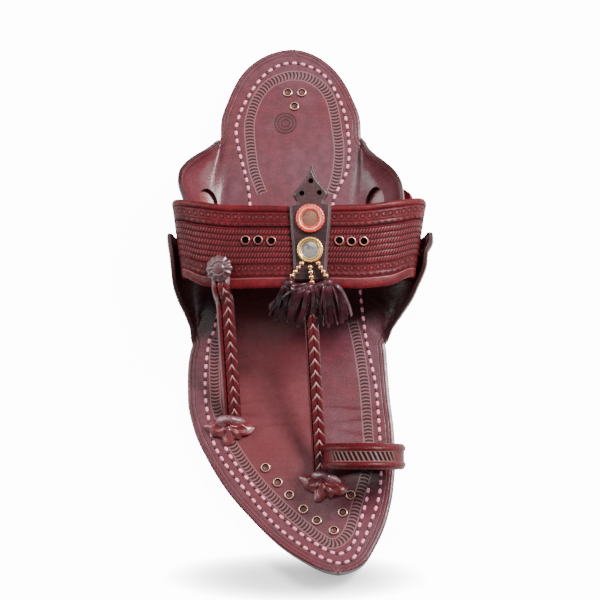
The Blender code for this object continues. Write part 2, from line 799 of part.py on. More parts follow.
def build_toe_ring(finish):
    """Padded loop with a sunken channel, leaning towards the toe."""
    low = bed_top(RING_PLACE) + SEAT_GAP
    turn = np.linspace(0.0, 2 * math.pi, 24, endpoint=False)
    sunk = 1.0 - 2.0 * RING_GROOVE / RING_WALL
    section = (
        (-1.0, 0.0), (-0.93, 0.6), (-0.66, 0.97), (-0.46, 0.92), (-0.40, sunk), (0.40, sunk),
        (0.46, 0.92), (0.66, 0.97), (0.93, 0.6), (1.0, 0.0), (0.8, -0.8), (0.0, -1.0), (-0.8, -0.8),
    )
    rings = []
    for wide, thick in section:
        a = RING_WIDTH / 2 - RING_WALL / 2 * (1.0 - thick)
        b = RING_HEIGHT / 2 - RING_WALL / 2 * (1.0 - thick)
        x = RING_X + a * np.sin(turn)
        z = low + RING_HEIGHT / 2 - b * np.cos(turn)
        y = place(RING_PLACE) + wide * RING_STRAP / 2 - (z - low) * RING_LEAN
        rings.append(np.stack([x, y, z], axis=-1))
    return tube("toe_ring", np.stack(rings, axis=1), finish, closed=True)


def tab_skin(along, half, lift):
    """Points over the band along the tab, from the tip of its head to its front end."""
    behind = (np.asarray(along) * TAB_LENGTH - TAB_TAIL) / (TAB_LENGTH - TAB_TAIL)
    across = behind * 0.93
    reach = band_reach(TAB_X + half, across)
    return band_skin(reach, across, lift)


def build_tab(finish):
    """Leather tab with a spade head that stands past the band's rear edge."""
    along = column(TAB_OUTLINE, "along")
    fine = np.unique(np.concatenate([along, [0.0, 0.45, 0.64, 0.82, 0.91]]))
    half = np.interp(fine, along, column(TAB_OUTLINE, "half")) * TAB_WIDTH
    upper = []
    lower = []
    for q in (-1.0, -0.5, 0.0, 0.5, 1.0):
        upper.append(tab_skin(fine, q * half, np.full_like(fine, SEAT_GAP + TAB_THICKNESS))[0])
        lower.append(tab_skin(fine, q * half, np.full_like(fine, SEAT_GAP))[0])
    made = slab("centre_tab", np.stack(upper, axis=1), np.stack(lower, axis=1), finish)
    for spot in TAB_HOLES:
        centre, out = tab_skin(spot.along, spot.across * TAB_WIDTH, 0.0)
        right = unit(np.cross(np.array([0, 1.0, 0]), out))
        cut(made, prism("hole", circle(TAB_HOLE, 8), centre, right, np.cross(out, right), CUT_DEPTH))
    return made


def turned(name, centre, out, profile, sides, finish, scallops=0, depth=0.0):
    """A round body from rows of radius and height, about an axis out of a surface."""
    right = unit(np.cross(np.array([0, 1.0, 0]), out))
    up = np.cross(out, right)
    turn = np.linspace(0.0, 2 * math.pi, sides, endpoint=False)
    rings = []
    for radius, height in profile:
        far = radius * (1.0 + depth * np.cos(turn * scallops) * (radius / profile[-1][0]) ** 4)
        ring = centre + out * height
        rings.append(ring + np.outer(far * np.cos(turn), right) + np.outer(far * np.sin(turn), up))
    return disc(name, np.stack(rings), finish)


def ring_piece(name, centre, out, radius, wall, height, finish, sides=8):
    """A flat-bottomed metal ring about an axis out of a surface."""
    right = unit(np.cross(np.array([0, 1.0, 0]), out))
    up = np.cross(out, right)
    turn = np.linspace(0.0, 2 * math.pi, sides, endpoint=False)
    ways = np.outer(np.cos(turn), right) + np.outer(np.sin(turn), up)
    rings = []
    for far, rise in ((radius, 0.0), (radius - wall * 0.35, height), (radius - wall, height * 0.7), (radius - wall, 0.0)):
        rings.append(centre + ways * far + out * rise)
    return tube(name, np.stack(rings, axis=1), finish, closed=True)


def build_mirror(name, along, radius, ring_finish, glass_finish):
    """A mirror glass in a raised rim, seated on the tab."""
    centre, out = tab_skin(along, 0.0, SEAT_GAP + TAB_THICKNESS + 2 * SEAT_GAP)
    inner = radius * GLASS_SHARE
    ring_piece(f"mirror_rim_{name}", centre, out, radius, radius - inner, MIRROR_THICKNESS, ring_finish, 16)
    glass = inner - SEAT_GAP
    profile = ((glass * 0.5, MIRROR_THICKNESS * 0.62), (glass, MIRROR_THICKNESS * 0.5), (glass, 0.0))
    turned(f"mirror_glass_{name}", centre, out, profile, 16, glass_finish)


def build_beads(number, row, finish):
    """A string of fused beads over the tab and the band."""
    share = np.linspace(0.0, 1.0, 3 * BEADS_A_STRING + 1)
    wave = np.abs(np.sin(share * math.pi * BEADS_A_STRING))
    radius = BEAD_RADIUS * (0.42 + 0.58 * wave)
    x = TAB_X + row.start + (row.end - row.start) * share
    across = row.start_across + (row.end_across - row.start_across) * share
    lift = 3 * SEAT_GAP + TAB_THICKNESS + BEAD_RADIUS
    line, _ = band_skin(band_reach(x, across), across, np.full_like(x, lift))
    ahead = unit(np.gradient(line, axis=0))
    right = unit(np.cross(ahead, np.array([0, 0, 1.0])))
    up = np.cross(right, ahead)
    turn = np.linspace(0.0, 2 * math.pi, 8, endpoint=False)
    ways = np.cos(turn)[None, :, None] * right[:, None] + np.sin(turn)[None, :, None] * up[:, None]
    return tube(f"bead_string_{number}", line[:, None] + ways * radius[:, None, None], finish, crease=80)


def build_rosette(finish):
    """Button with a scalloped rim over the lateral braid's start."""
    centre, out = band_skin(band_reach(ROSETTE_X, ROSETTE_PLACE), ROSETTE_PLACE, BRAID_THICKNESS + SEAT_GAP)
    r, t = ROSETTE_RADIUS, ROSETTE_THICKNESS
    profile = ((0.3 * r, t), (0.62 * r, 0.8 * t), (0.9 * r, 0.55 * t), (r, 0.25 * t), (r, 0.0))
    return turned("rosette", centre, out, profile, 2 * ROSETTE_SCALLOPS, finish, ROSETTE_SCALLOPS, 0.05)


def build_knot(name, foot, aside, tilt, finish):
    """Domed leaf knot in front of a braid's foot: two wings and a point towards the toe."""
    centre = np.array([(foot.across + aside) * BALL_WIDTH, place(foot.along) - KNOT_SEAT])
    angle = column(KNOT_LEAVES, "angle")
    reach = column(KNOT_LEAVES, "reach") * KNOT_REACH
    turn = np.linspace(0.0, 1.0, 20, endpoint=False)
    far = np.interp(turn, angle, reach)
    angle = turn * 2 * math.pi + tilt
    way = np.stack([np.cos(angle), -np.sin(angle)], axis=-1)
    low = bed_top(share_at(centre[1])) + SEAT_GAP
    rings = []
    for share, height in ((0.22, 1.0), (0.5, 0.72), (0.85, 0.34), (1.0, 0.18), (1.0, 0.0)):
        flat = centre + way * (far * share)[:, None]
        base = np.maximum(bed_top(share_at(flat[:, 1])) + SEAT_GAP, low)
        rings.append(np.concatenate([flat, (base + KNOT_HEIGHT * height)[:, None]], axis=1))
    return disc(name, np.stack(rings), finish)


def build_tassel(finish):
    """Leather strips fused on three lumps, hanging over the band's front edge."""
    made = None
    for row in TASSEL_LUMPS:
        piece = lump(row)
        made = piece if made is None else fused(made, piece)
    made = fused(made, hanging_strip(TASSEL_BAR, BAR_WIDTH))
    for row in TASSEL_STRIPS:
        made = fused(made, hanging_strip(row, STRIP_WIDTH))
    made.name = "tassel"
    made.data.name = "tassel"
    made.data.materials.clear()
    made.data.materials.append(finish)
    made.data.shade_smooth()
    made.data.set_sharp_from_angle(angle=math.radians(35))
    return made


def fused(first, second):
    """Two solids made one."""
    cut(first, second, "UNION")
    return first


def tassel_point(across, ahead):
    """A point over the band, measured from the tab and from the band's front edge."""
    rows = BAND_EDGES[0]
    x = TAB_X + across * TASSEL_SPREAD
    y = place(rows.front) - ahead * TASSEL_REACH
    share = np.clip((share_at(y) - rows.rear) / (rows.front - rows.rear), 0.0, 1.0)
    point, _ = band_skin(band_reach(x, share), share, 0.0)
    return np.array([x, y, point[2] + TAB_THICKNESS + TASSEL_LIFT])


def lump(row):
    """A knotted bundle of strips."""
    r = LUMP_RADIUS
    profile = ((0.27 * r, 0.77 * r), (0.77 * r, 0.53 * r), (r, 0.0), (0.77 * r, -0.53 * r), (0.27 * r, -0.77 * r))
    centre = tassel_point(row.across, row.ahead) + np.array([0.0, 0.0, 0.2 * r])
    return turned("lump", centre, np.array([0.0, 0.0, 1.0]), profile, 8, None)


def hanging_strip(row, width):
    """A bent leather strip from its root over the band to its hanging tip."""
    root = tassel_point(row.root, row.root_ahead)
    tip = tassel_point(row.tip, row.tip_ahead)
    share = np.linspace(0.0, 1.0, 5)
    line = root + (tip - root) * share[:, None]
    hump = 0.5 * LUMP_RADIUS * np.sin(share * math.pi)
    line[:, 2] = root[2] - row.drop * TASSEL_DROP * share**1.6 + hump
    ahead = unit(np.gradient(line, axis=0))
    right = unit(np.cross(ahead, np.array([0, 0, 1.0])))
    up = np.cross(right, ahead)
    rings = []
    for wide, thick in ((-0.5, -0.5), (0.5, -0.5), (0.5, 0.5), (-0.5, 0.5)):
        rings.append(line + right * wide * width + up * thick * STRIP_THICKNESS)
    return tube("strip", np.stack(rings, axis=1))


def build_eyelets(finish):
    """Metal rings round the band's holes and on the footbed."""
    for number, spot in enumerate(BAND_EYELETS, 1):
        centre, out = eyelet_place(spot, SEAT_GAP)
        ring_piece(f"band_eyelet_{number}", centre, out, EYELET_RADIUS, EYELET_WALL, EYELET_HEIGHT, finish)
    number = 0
    for rows, width in ((HEEL_EYELETS, HEEL_WIDTH), (TOE_EYELETS, BALL_WIDTH)):
        for spot in rows:
            number += 1
            high = bed_top(spot.along) + SEAT_GAP
            ahead = bed_top(spot.along + 0.01) - bed_top(spot.along)
            out = unit(np.array([0.0, float(ahead) / (0.01 * LENGTH), 1.0]))
            centre = np.array([spot.across * width, float(place(spot.along)), float(high)])
            ring_piece(f"bed_eyelet_{number}", centre, out, EYELET_RADIUS, EYELET_WALL, EYELET_HEIGHT, finish)


def build():
    """Every piece, from the sole up."""
    for old in list(bpy.data.objects):
        bpy.data.objects.remove(old)
    plum = material("plum_leather", (0.16, 0.045, 0.055), 0.38)
    edge_leather = material("sole_leather", (0.13, 0.055, 0.05), 0.55)
    red = material("red_leather", (0.14, 0.012, 0.02), 0.34)
    brown = material("brown_leather", (0.09, 0.04, 0.045), 0.4)
    brass = material("brass", (0.75, 0.52, 0.32), 0.3, 1.0)
    orange = material("orange_rim", (0.75, 0.12, 0.07), 0.35, 0.3)
    gold = material("gold_rim", (0.8, 0.52, 0.2), 0.3, 0.9)
    glass = material("mirror_glass", (0.6, 0.58, 0.56), 0.08, 1.0)
    build_outsole(edge_leather)
    build_heel_lift(edge_leather)
    build_footbed(plum)
    build_upper(red)
    build_toe_ring(red)
    build_tab(brown)
    build_mirror("upper", 0.465, UPPER_MIRROR, orange, glass)
    build_mirror("lower", 0.735, LOWER_MIRROR, gold, glass)
    for number, row in enumerate(BEAD_STRINGS, 1):
        build_beads(number, row, gold)
    build_rosette(brown)
    build_knot("knot_lateral", LATERAL_BRAID[-1], KNOT_ASIDE["lateral"], 0.05, red)
    build_knot("knot_centre", CENTRE_BRAID[-1], KNOT_ASIDE["centre"], 0.28, red)
    build_tassel(brown)
    build_eyelets(brass)


build()
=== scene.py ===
"""Looks of the kolhapuri sandal: bed, band, plaits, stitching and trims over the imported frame.

Every new piece is a surface worked out with numpy and put into a mesh in one go.
Lengths are metres, MM turns millimetres into metres, and the axes are the frame's own:
the toe points along -Y, the big-toe side lies at +X and the floor is z = 0.
"""
from __future__ import annotations

import logging
import math
from dataclasses import dataclass
from enum import Enum
from typing import Callable, NamedTuple, Optional, Sequence

import bmesh
import bpy
import numpy as np
from mathutils import Matrix, Vector


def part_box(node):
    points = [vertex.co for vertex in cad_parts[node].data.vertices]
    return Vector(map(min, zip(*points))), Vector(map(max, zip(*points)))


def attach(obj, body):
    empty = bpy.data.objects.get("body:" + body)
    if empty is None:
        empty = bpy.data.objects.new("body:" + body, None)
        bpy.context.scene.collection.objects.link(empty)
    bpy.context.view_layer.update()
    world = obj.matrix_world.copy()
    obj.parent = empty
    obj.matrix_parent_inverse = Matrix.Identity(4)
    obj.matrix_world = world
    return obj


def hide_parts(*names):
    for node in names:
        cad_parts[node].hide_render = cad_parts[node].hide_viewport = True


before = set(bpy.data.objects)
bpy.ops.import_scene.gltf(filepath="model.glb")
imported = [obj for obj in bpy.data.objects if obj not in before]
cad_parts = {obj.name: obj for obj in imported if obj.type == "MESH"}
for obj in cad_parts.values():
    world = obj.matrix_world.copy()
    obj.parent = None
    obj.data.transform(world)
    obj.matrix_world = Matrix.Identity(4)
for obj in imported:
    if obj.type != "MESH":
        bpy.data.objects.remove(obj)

MM = 0.001
BODY = "root"
LOG = logging.getLogger("sandal")
UP = np.array([0.0, 0.0, 1.0])
HEELWARD = np.array([0.0, 1.0, 0.0])
# Points that are measured in one go.
CHUNK = 4000
# Distance of a slit's cutter from the middle of the shoe, and its reach to both sides of that.
SLIT_X = 59 * MM
SLIT_REACH = 34 * MM

Array = np.ndarray
Rows = Sequence[NamedTuple]
Material = bpy.types.Material
Socket = bpy.types.NodeSocket


class Side(Enum):
    """The two sides of the shoe, as the sign of their X."""

    LATERAL = -1
    MEDIAL = 1


class Outline(NamedTuple):
    """Half widths of the sole at a share of its length."""

    along: float
    lateral: float
    medial: float


class Ear(NamedTuple):
    """Reach and height of the ears at a share of the length."""

    along: float
    lateral: float
    medial: float
    height: float


class BandEdge(NamedTuple):
    """Rear and front edge of the band at a reach from its middle."""

    reach: float
    rear: float
    front: float


class Spot(NamedTuple):
    """A place on the sole: share of the length, and X in shares of the ball width."""

    along: float
    across: float


class Ridge(NamedTuple):
    """A height at a share across the band."""

    across: float
    height: float


class Strip(NamedTuple):
    """A raised strip: its middle and half width in shares across the band."""

    across: float
    half: float


class Tab(NamedTuple):
    """Half width of the tab at a share of its length."""

    along: float
    half: float


class Leaf(NamedTuple):
    """Reach of a knot at a share of a turn."""

    angle: float
    reach: float


class Pleat(NamedTuple):
    """Folds round a knot: how many, where the first lies, how they lean, and their depth."""

    count: float
    phase: float
    lean: float
    depth: float


class Waypoint(NamedTuple):
    """A point of a braid: X and height in shares, and its place along the sole."""

    across: float
    along: float
    lift: float


class Oval(NamedTuple):
    """An oval in the plan: its middle and its half sizes."""

    x: float
    y: float
    half_x: float
    half_y: float


class Cluster(NamedTuple):
    """A bunch of tassel strips: its root and the spread of its tips."""

    across: float
    ahead: float
    first_tip: float
    last_tip: float
    reach: float
    count: int


def spots(*pairs: tuple[float, float]) -> tuple[Spot, ...]:
    """Pairs of shares as spots."""
    return tuple(Spot(*pair) for pair in pairs)


def column(rows: Rows, name: str) -> Array:
    """One named column of a table as an array."""
    return np.array([getattr(row, name) for row in rows], dtype=float)


def smooth(share: Array) -> Array:
    """Step that eases from 0 to 1: 3s^2 - 2s^3 of the share held between 0 and 1."""
    share = np.clip(share, 0.0, 1.0)
    return share * share * (3.0 - 2.0 * share)


def bump_at(values: Array, centre: float, half: float) -> Array:
    """Round bump, 1 at the centre and 0 past its half width: (1 - d^2)^2."""
    far = np.clip(np.abs(values - centre) / half, 0.0, 1.0)
    return (1.0 - far**2) ** 2


def monotone(xs: Array, ys: Array, at: Array) -> Array:
    """Cubic curve through points that never overshoots them.

    Args:
        xs: Places of the points, rising.
        ys: Values at the points.
        at: Places to read, held within the first and last point.

    Returns:
        Values of the Hermite cubic whose slopes are the harmonic means of the chords.
    """
    at = np.clip(at, xs[0], xs[-1])
    step = np.diff(xs)
    rise = np.diff(ys) / step
    slope = np.zeros(len(xs))
    slope[0] = rise[0]
    slope[-1] = rise[-1]
    both = rise[:-1] * rise[1:]
    mean = 2.0 * both / np.where(both > 0.0, rise[:-1] + rise[1:], 1.0)
    slope[1:-1] = np.where(both > 0.0, mean, 0.0)
    k = np.clip(np.searchsorted(xs, at) - 1, 0, len(step) - 1)
    t = (at - xs[k]) / step[k]
    value = (2 * t**3 - 3 * t**2 + 1) * ys[k] + (t**3 - 2 * t**2 + t) * step[k] * slope[k]
    return value + (3 * t**2 - 2 * t**3) * ys[k + 1] + (t**3 - t**2) * step[k] * slope[k + 1]


def read(rows: Rows, key: str, name: str, at: Array) -> Array:
    """A column of a table, read between its rows along another column."""
    return monotone(column(rows, key), column(rows, name), np.asarray(at, dtype=float))


def unit(vectors: Array) -> Array:
    """Vectors scaled to length one."""
    return vectors / np.maximum(np.linalg.norm(vectors, axis=-1, keepdims=True), 1e-12)


def turns(count: int) -> Array:
    """Even angles of one full turn, without its end."""
    return np.linspace(0.0, 2 * math.pi, count, endpoint=False)


def lengths(line: Array) -> Array:
    """Length along a line at each of its points."""
    return np.concatenate([[0.0], np.cumsum(np.linalg.norm(np.diff(line, axis=0), axis=1))])


def crossways(ahead: Array) -> tuple[Array, Array]:
    """Level unit vectors to the right of given ones, and the vectors square to both."""
    right = unit(np.cross(ahead, UP))
    return right, np.cross(right, ahead)


def axes_about(out: Array) -> tuple[Array, Array]:
    """Two unit vectors square to a third, the first of them without a part along Y."""
    right = unit(np.cross(HEELWARD, out))
    return right, np.cross(out, right)


def swept(line: Array, right: Array, up: Array, wide: Array, tall: Array) -> Array:
    """Rings carried along a line, from their reach to its right and their height over it."""
    return line[:, None] + right[:, None] * wide[..., None] + up[:, None] * tall[..., None]


def normals(points: Array) -> Array:
    """Unit normals of a grid of points: the cross product of its two directions."""
    down = np.gradient(points, axis=0)
    right = np.gradient(points, axis=1)
    return unit(np.cross(down, right))


def curve_through(points: Array, step: float, closed: bool = False) -> Array:
    """Even points on a smooth curve.

    Args:
        points: Chosen points, (n, 2) or (n, 3).
        step: Distance between the points that are given back.
        closed: Whether the curve runs back to its first point.

    Returns:
        Points of a Catmull-Rom curve through the chosen ones, spaced evenly by length.
    """
    points = np.asarray(points, dtype=float)
    if closed:
        padded = np.concatenate([points[-1:], points, points[:2]])
    else:
        before, after = 2 * points[:1] - points[1:2], 2 * points[-1:] - points[-2:-1]
        padded = np.concatenate([before, points, after])
    t = np.linspace(0.0, 1.0, 24, endpoint=False)[None, :, None]
    a, b, c, d = (padded[k:len(padded) - 3 + k, None, :] for k in range(4))
    fine = 0.5 * (2 * b + (c - a) * t + (2 * a - 5 * b + 4 * c - d) * t**2 + (3 * b - a - 3 * c + d) * t**3)
    fine = np.concatenate([fine.reshape(-1, points.shape[1]), padded[-2:-1]])
    far = lengths(fine)
    at = np.linspace(0.0, far[-1], max(2, int(round(far[-1] / step)) + 1))
    return np.stack([np.interp(at, far, fine[:, k]) for k in range(points.shape[1])], axis=-1)


def measured_from(points: Array, line: Array, reach: float) -> tuple[Array, Array]:
    """Where points lie against a flat line.

    Args:
        points: (n, 2) points to measure.
        line: (m, 2) points of the line, evenly spaced.
        reach: Distance past which a point only counts as far.

    Returns:
        The distance to the left of the line and the length along it, by the nearest segment.
    """
    start = line[:-1]
    run = line[1:] - start
    length = np.linalg.norm(run, axis=1)
    far = np.concatenate([[0.0], np.cumsum(length)])
    across = np.full(len(points), reach)
    along = np.zeros(len(points))
    for first in range(0, len(points), CHUNK):
        part = points[first:first + CHUNK, None, :] - start[None]
        share = np.clip((part * run).sum(-1) / (length**2), 0.0, 1.0)
        gap = part - run * share[..., None]
        size = np.linalg.norm(gap, axis=-1)
        best = size.argmin(axis=1)
        pick = np.arange(len(best))
        turn = run[best, 0] * gap[pick, best, 1] - run[best, 1] * gap[pick, best, 0]
        across[first:first + CHUNK] = size[pick, best] * np.sign(turn + 1e-15)
        along[first:first + CHUNK] = far[best] + share[pick, best] * length[best]
    return np.clip(across, -reach, reach), along


@dataclass(frozen=True)
class Surface:
    """Points, four-cornered faces and named pairs of values of one closed shape."""

    points: Array
    quads: Array
    maps: dict[str, Array]

    def object(self, name: str, finish: Material, crease: float = 180.0) -> bpy.types.Object:
        """Put the shape into a mesh.

        Args:
            name: Name of the piece.
            finish: Its material.
            crease: Angle in degrees past which an edge is drawn sharp.

        Returns:
            The object, at the origin and riding on the shoe's body.
        """
        mesh = bpy.data.meshes.new(name)
        count = len(self.quads)
        mesh.vertices.add(len(self.points))
        mesh.vertices.foreach_set("co", self.points.astype(np.float32).ravel())
        mesh.loops.add(count * 4)
        mesh.loops.foreach_set("vertex_index", self.quads.astype(np.int32).ravel())
        mesh.polygons.add(count)
        mesh.polygons.foreach_set("loop_start", np.arange(0, count * 4, 4, dtype=np.int32))
        for title, values in self.maps.items():
            layer = mesh.uv_layers.new(name=title)
            layer.data.foreach_set("uv", values[self.quads.ravel()].astype(np.float32).ravel())
        mesh.update(calc_edges=True)
        tidy_mesh(mesh, crease)
        mesh.materials.append(finish)
        made = bpy.data.objects.new(name, mesh)
        bpy.context.scene.collection.objects.link(made)
        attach(made, BODY)
        return made


def tidy_mesh(mesh: bpy.types.Mesh, crease: float) -> None:
    """Face a mesh outwards, drop faces without area, and shade it smooth up to an angle."""
    shape = bmesh.new()
    shape.from_mesh(mesh)
    bmesh.ops.remove_doubles(shape, verts=shape.verts, dist=1e-7)
    bmesh.ops.recalc_face_normals(shape, faces=shape.faces)
    shape.to_mesh(mesh)
    shape.free()
    mesh.shade_smooth()
    if crease < 180.0:
        mesh.set_sharp_from_angle(angle=math.radians(crease))


def joined(parts: Sequence[Surface]) -> Surface:
    """Several shapes as one, their points and faces one after the other."""
    starts = np.cumsum([0] + [len(part.points) for part in parts[:-1]])
    quads = np.concatenate([part.quads + start for part, start in zip(parts, starts)])
    maps = {name: np.concatenate([part.maps[name] for part in parts]) for name in parts[0].maps}
    return Surface(np.concatenate([part.points for part in parts]), quads, maps)


def grid_quads(rows: int, cols: int, around: bool = False, closed: bool = False) -> Array:
    """Corner numbers of a grid's faces.

    Args:
        rows: Rows of points.
        cols: Points in a row.
        around: Whether each row closes on itself.
        closed: Whether the last row meets the first.

    Returns:
        (n, 4) corners, turning the same way on every face.
    """
    i = np.arange(rows if closed else rows - 1)[:, None]
    j = np.arange(cols if around else cols - 1)[None, :]
    low = i * cols
    high = ((i + 1) % rows) * cols
    right = (j + 1) % cols
    corners = np.stack([low + j, low + right, high + right, high + j], axis=-1)
    return corners.reshape(-1, 4)


def slab(upper: Array, lower: Array, maps: Optional[dict[str, Array]] = None) -> Surface:
    """A closed sheet between two grids.

    Args:
        upper: (rows, cols, 3) points of one face.
        lower: The same points of the other face.
        maps: Pairs of values for each point of the grid, given to both faces.

    Returns:
        The two grids joined by a strip of faces round their rim.
    """
    rows, cols = upper.shape[:2]
    top = grid_quads(rows, cols)
    count = rows * cols
    rim = np.concatenate([
        np.arange(cols), np.arange(1, rows) * cols + cols - 1,
        (rows - 1) * cols + np.arange(cols - 2, -1, -1), np.arange(rows - 2, 0, -1) * cols,
    ])
    after = np.roll(rim, -1)
    wall = np.stack([rim, count + rim, count + after, after], axis=-1)
    quads = np.concatenate([top, top[:, ::-1] + count, wall])
    points = np.concatenate([upper.reshape(-1, 3), lower.reshape(-1, 3)])
    both = {name: np.concatenate([grid.reshape(-1, 2)] * 2) for name, grid in (maps or {}).items()}
    return Surface(points, quads, both)


def tube(rings: Array, maps: Optional[dict[str, Array]] = None, closed: bool = False) -> Surface:
    """A body through rings of points, closed by points at its ends or closed on itself.

    Args:
        rings: (rows, sides, 3) points.
        maps: Pairs of values for each point of the rings.
        closed: Whether the last ring meets the first.

    Returns:
        The closed body. Open ends are shut by a last ring drawn together in one point.
    """
    maps = dict(maps or {})
    if not closed:
        first = np.repeat(rings[:1].mean(axis=1, keepdims=True), rings.shape[1], axis=1)
        last = np.repeat(rings[-1:].mean(axis=1, keepdims=True), rings.shape[1], axis=1)
        rings = np.concatenate([first, rings, last])
        maps = {name: np.concatenate([grid[:1], grid, grid[-1:]]) for name, grid in maps.items()}
    rows, sides = rings.shape[:2]
    flat = {name: grid.reshape(-1, 2) for name, grid in maps.items()}
    return Surface(rings.reshape(-1, 3), grid_quads(rows, sides, True, closed), flat)


def lathe(centre: Array, out: Array, profile: Array, sides: int,
          swell: Optional[Callable] = None) -> Surface:
    """A body turned about an axis.

    Args:
        centre: Foot of the axis.
        out: Direction of the axis.
        profile: Rows of radius and height, from the middle of the top to the foot.
        sides: Points round it.
        swell: Function of turn and profile row that gives a factor on the radius and a rise.

    Returns:
        The body, closed at both ends of the profile, with a map of radius and turn.
    """
    right, up = axes_about(out)
    turn = turns(sides)[None, :]
    radius = np.asarray(profile)[:, :1]
    height = np.asarray(profile)[:, 1:2]
    factor, rise = swell(turn, radius) if swell else (1.0, 0.0)
    far = radius * factor
    tall = height + rise
    rings = centre + (far * np.cos(turn))[..., None] * right + (far * np.sin(turn))[..., None] * up
    rings = rings + (tall + 0.0 * turn)[..., None] * out
    values = np.stack([radius / MM + 0.0 * turn, turn + 0.0 * radius], axis=-1)
    return tube(rings, {"round": values})


def cut_out(target: bpy.types.Object, blocks: Sequence[Surface]) -> None:
    """Take blocks out of a piece with one exact boolean, whose result is applied.

    Args:
        target: The piece to cut.
        blocks: Closed shapes that don't touch each other.
    """
    shape = joined(blocks)
    mesh = bpy.data.meshes.new("cutter")
    mesh.from_pydata(shape.points.tolist(), [], shape.quads.tolist())
    tidy_mesh(mesh, 180.0)
    cutter = bpy.data.objects.new("cutter", mesh)
    bpy.context.scene.collection.objects.link(cutter)
    change = target.modifiers.new("cut", "BOOLEAN")
    change.operation = "DIFFERENCE"
    change.solver = "EXACT"
    change.object = cutter
    graph = bpy.context.evaluated_depsgraph_get()
    result = bpy.data.meshes.new_from_object(target.evaluated_get(graph))
    target.modifiers.clear()
    old = target.data
    target.data = result
    bpy.data.meshes.remove(old)
    bpy.data.objects.remove(cutter)
    result.name = target.name
    result.shade_smooth()
    result.set_sharp_from_angle(angle=math.radians(45.0))


def block(outline: Array, centre: Array, right: Array, up: Array, depth: float) -> Surface:
    """A straight cutter: an outline in the plane of two directions, run to both sides of it."""
    way = np.cross(right, up)
    flat = centre + outline[:, :1] * right + outline[:, 1:] * up
    return tube(np.stack([flat - way * depth, flat + way * depth]))


def slit_block(last: Last, side: Side, low: float, high: float, spare: float) -> Surface:
    """A cutter between two heights, as long as an ear's slit and a spare at both its ends."""
    rear = float(last.place(last.slit_rear)) + spare
    front = float(last.place(last.slit_front)) - spare
    outline = np.array([(front, low), (rear, low), (rear, high), (front, high)])
    return block(outline, np.array([side.value * SLIT_X, 0.0, 0.0]), HEELWARD, UP, SLIT_REACH)


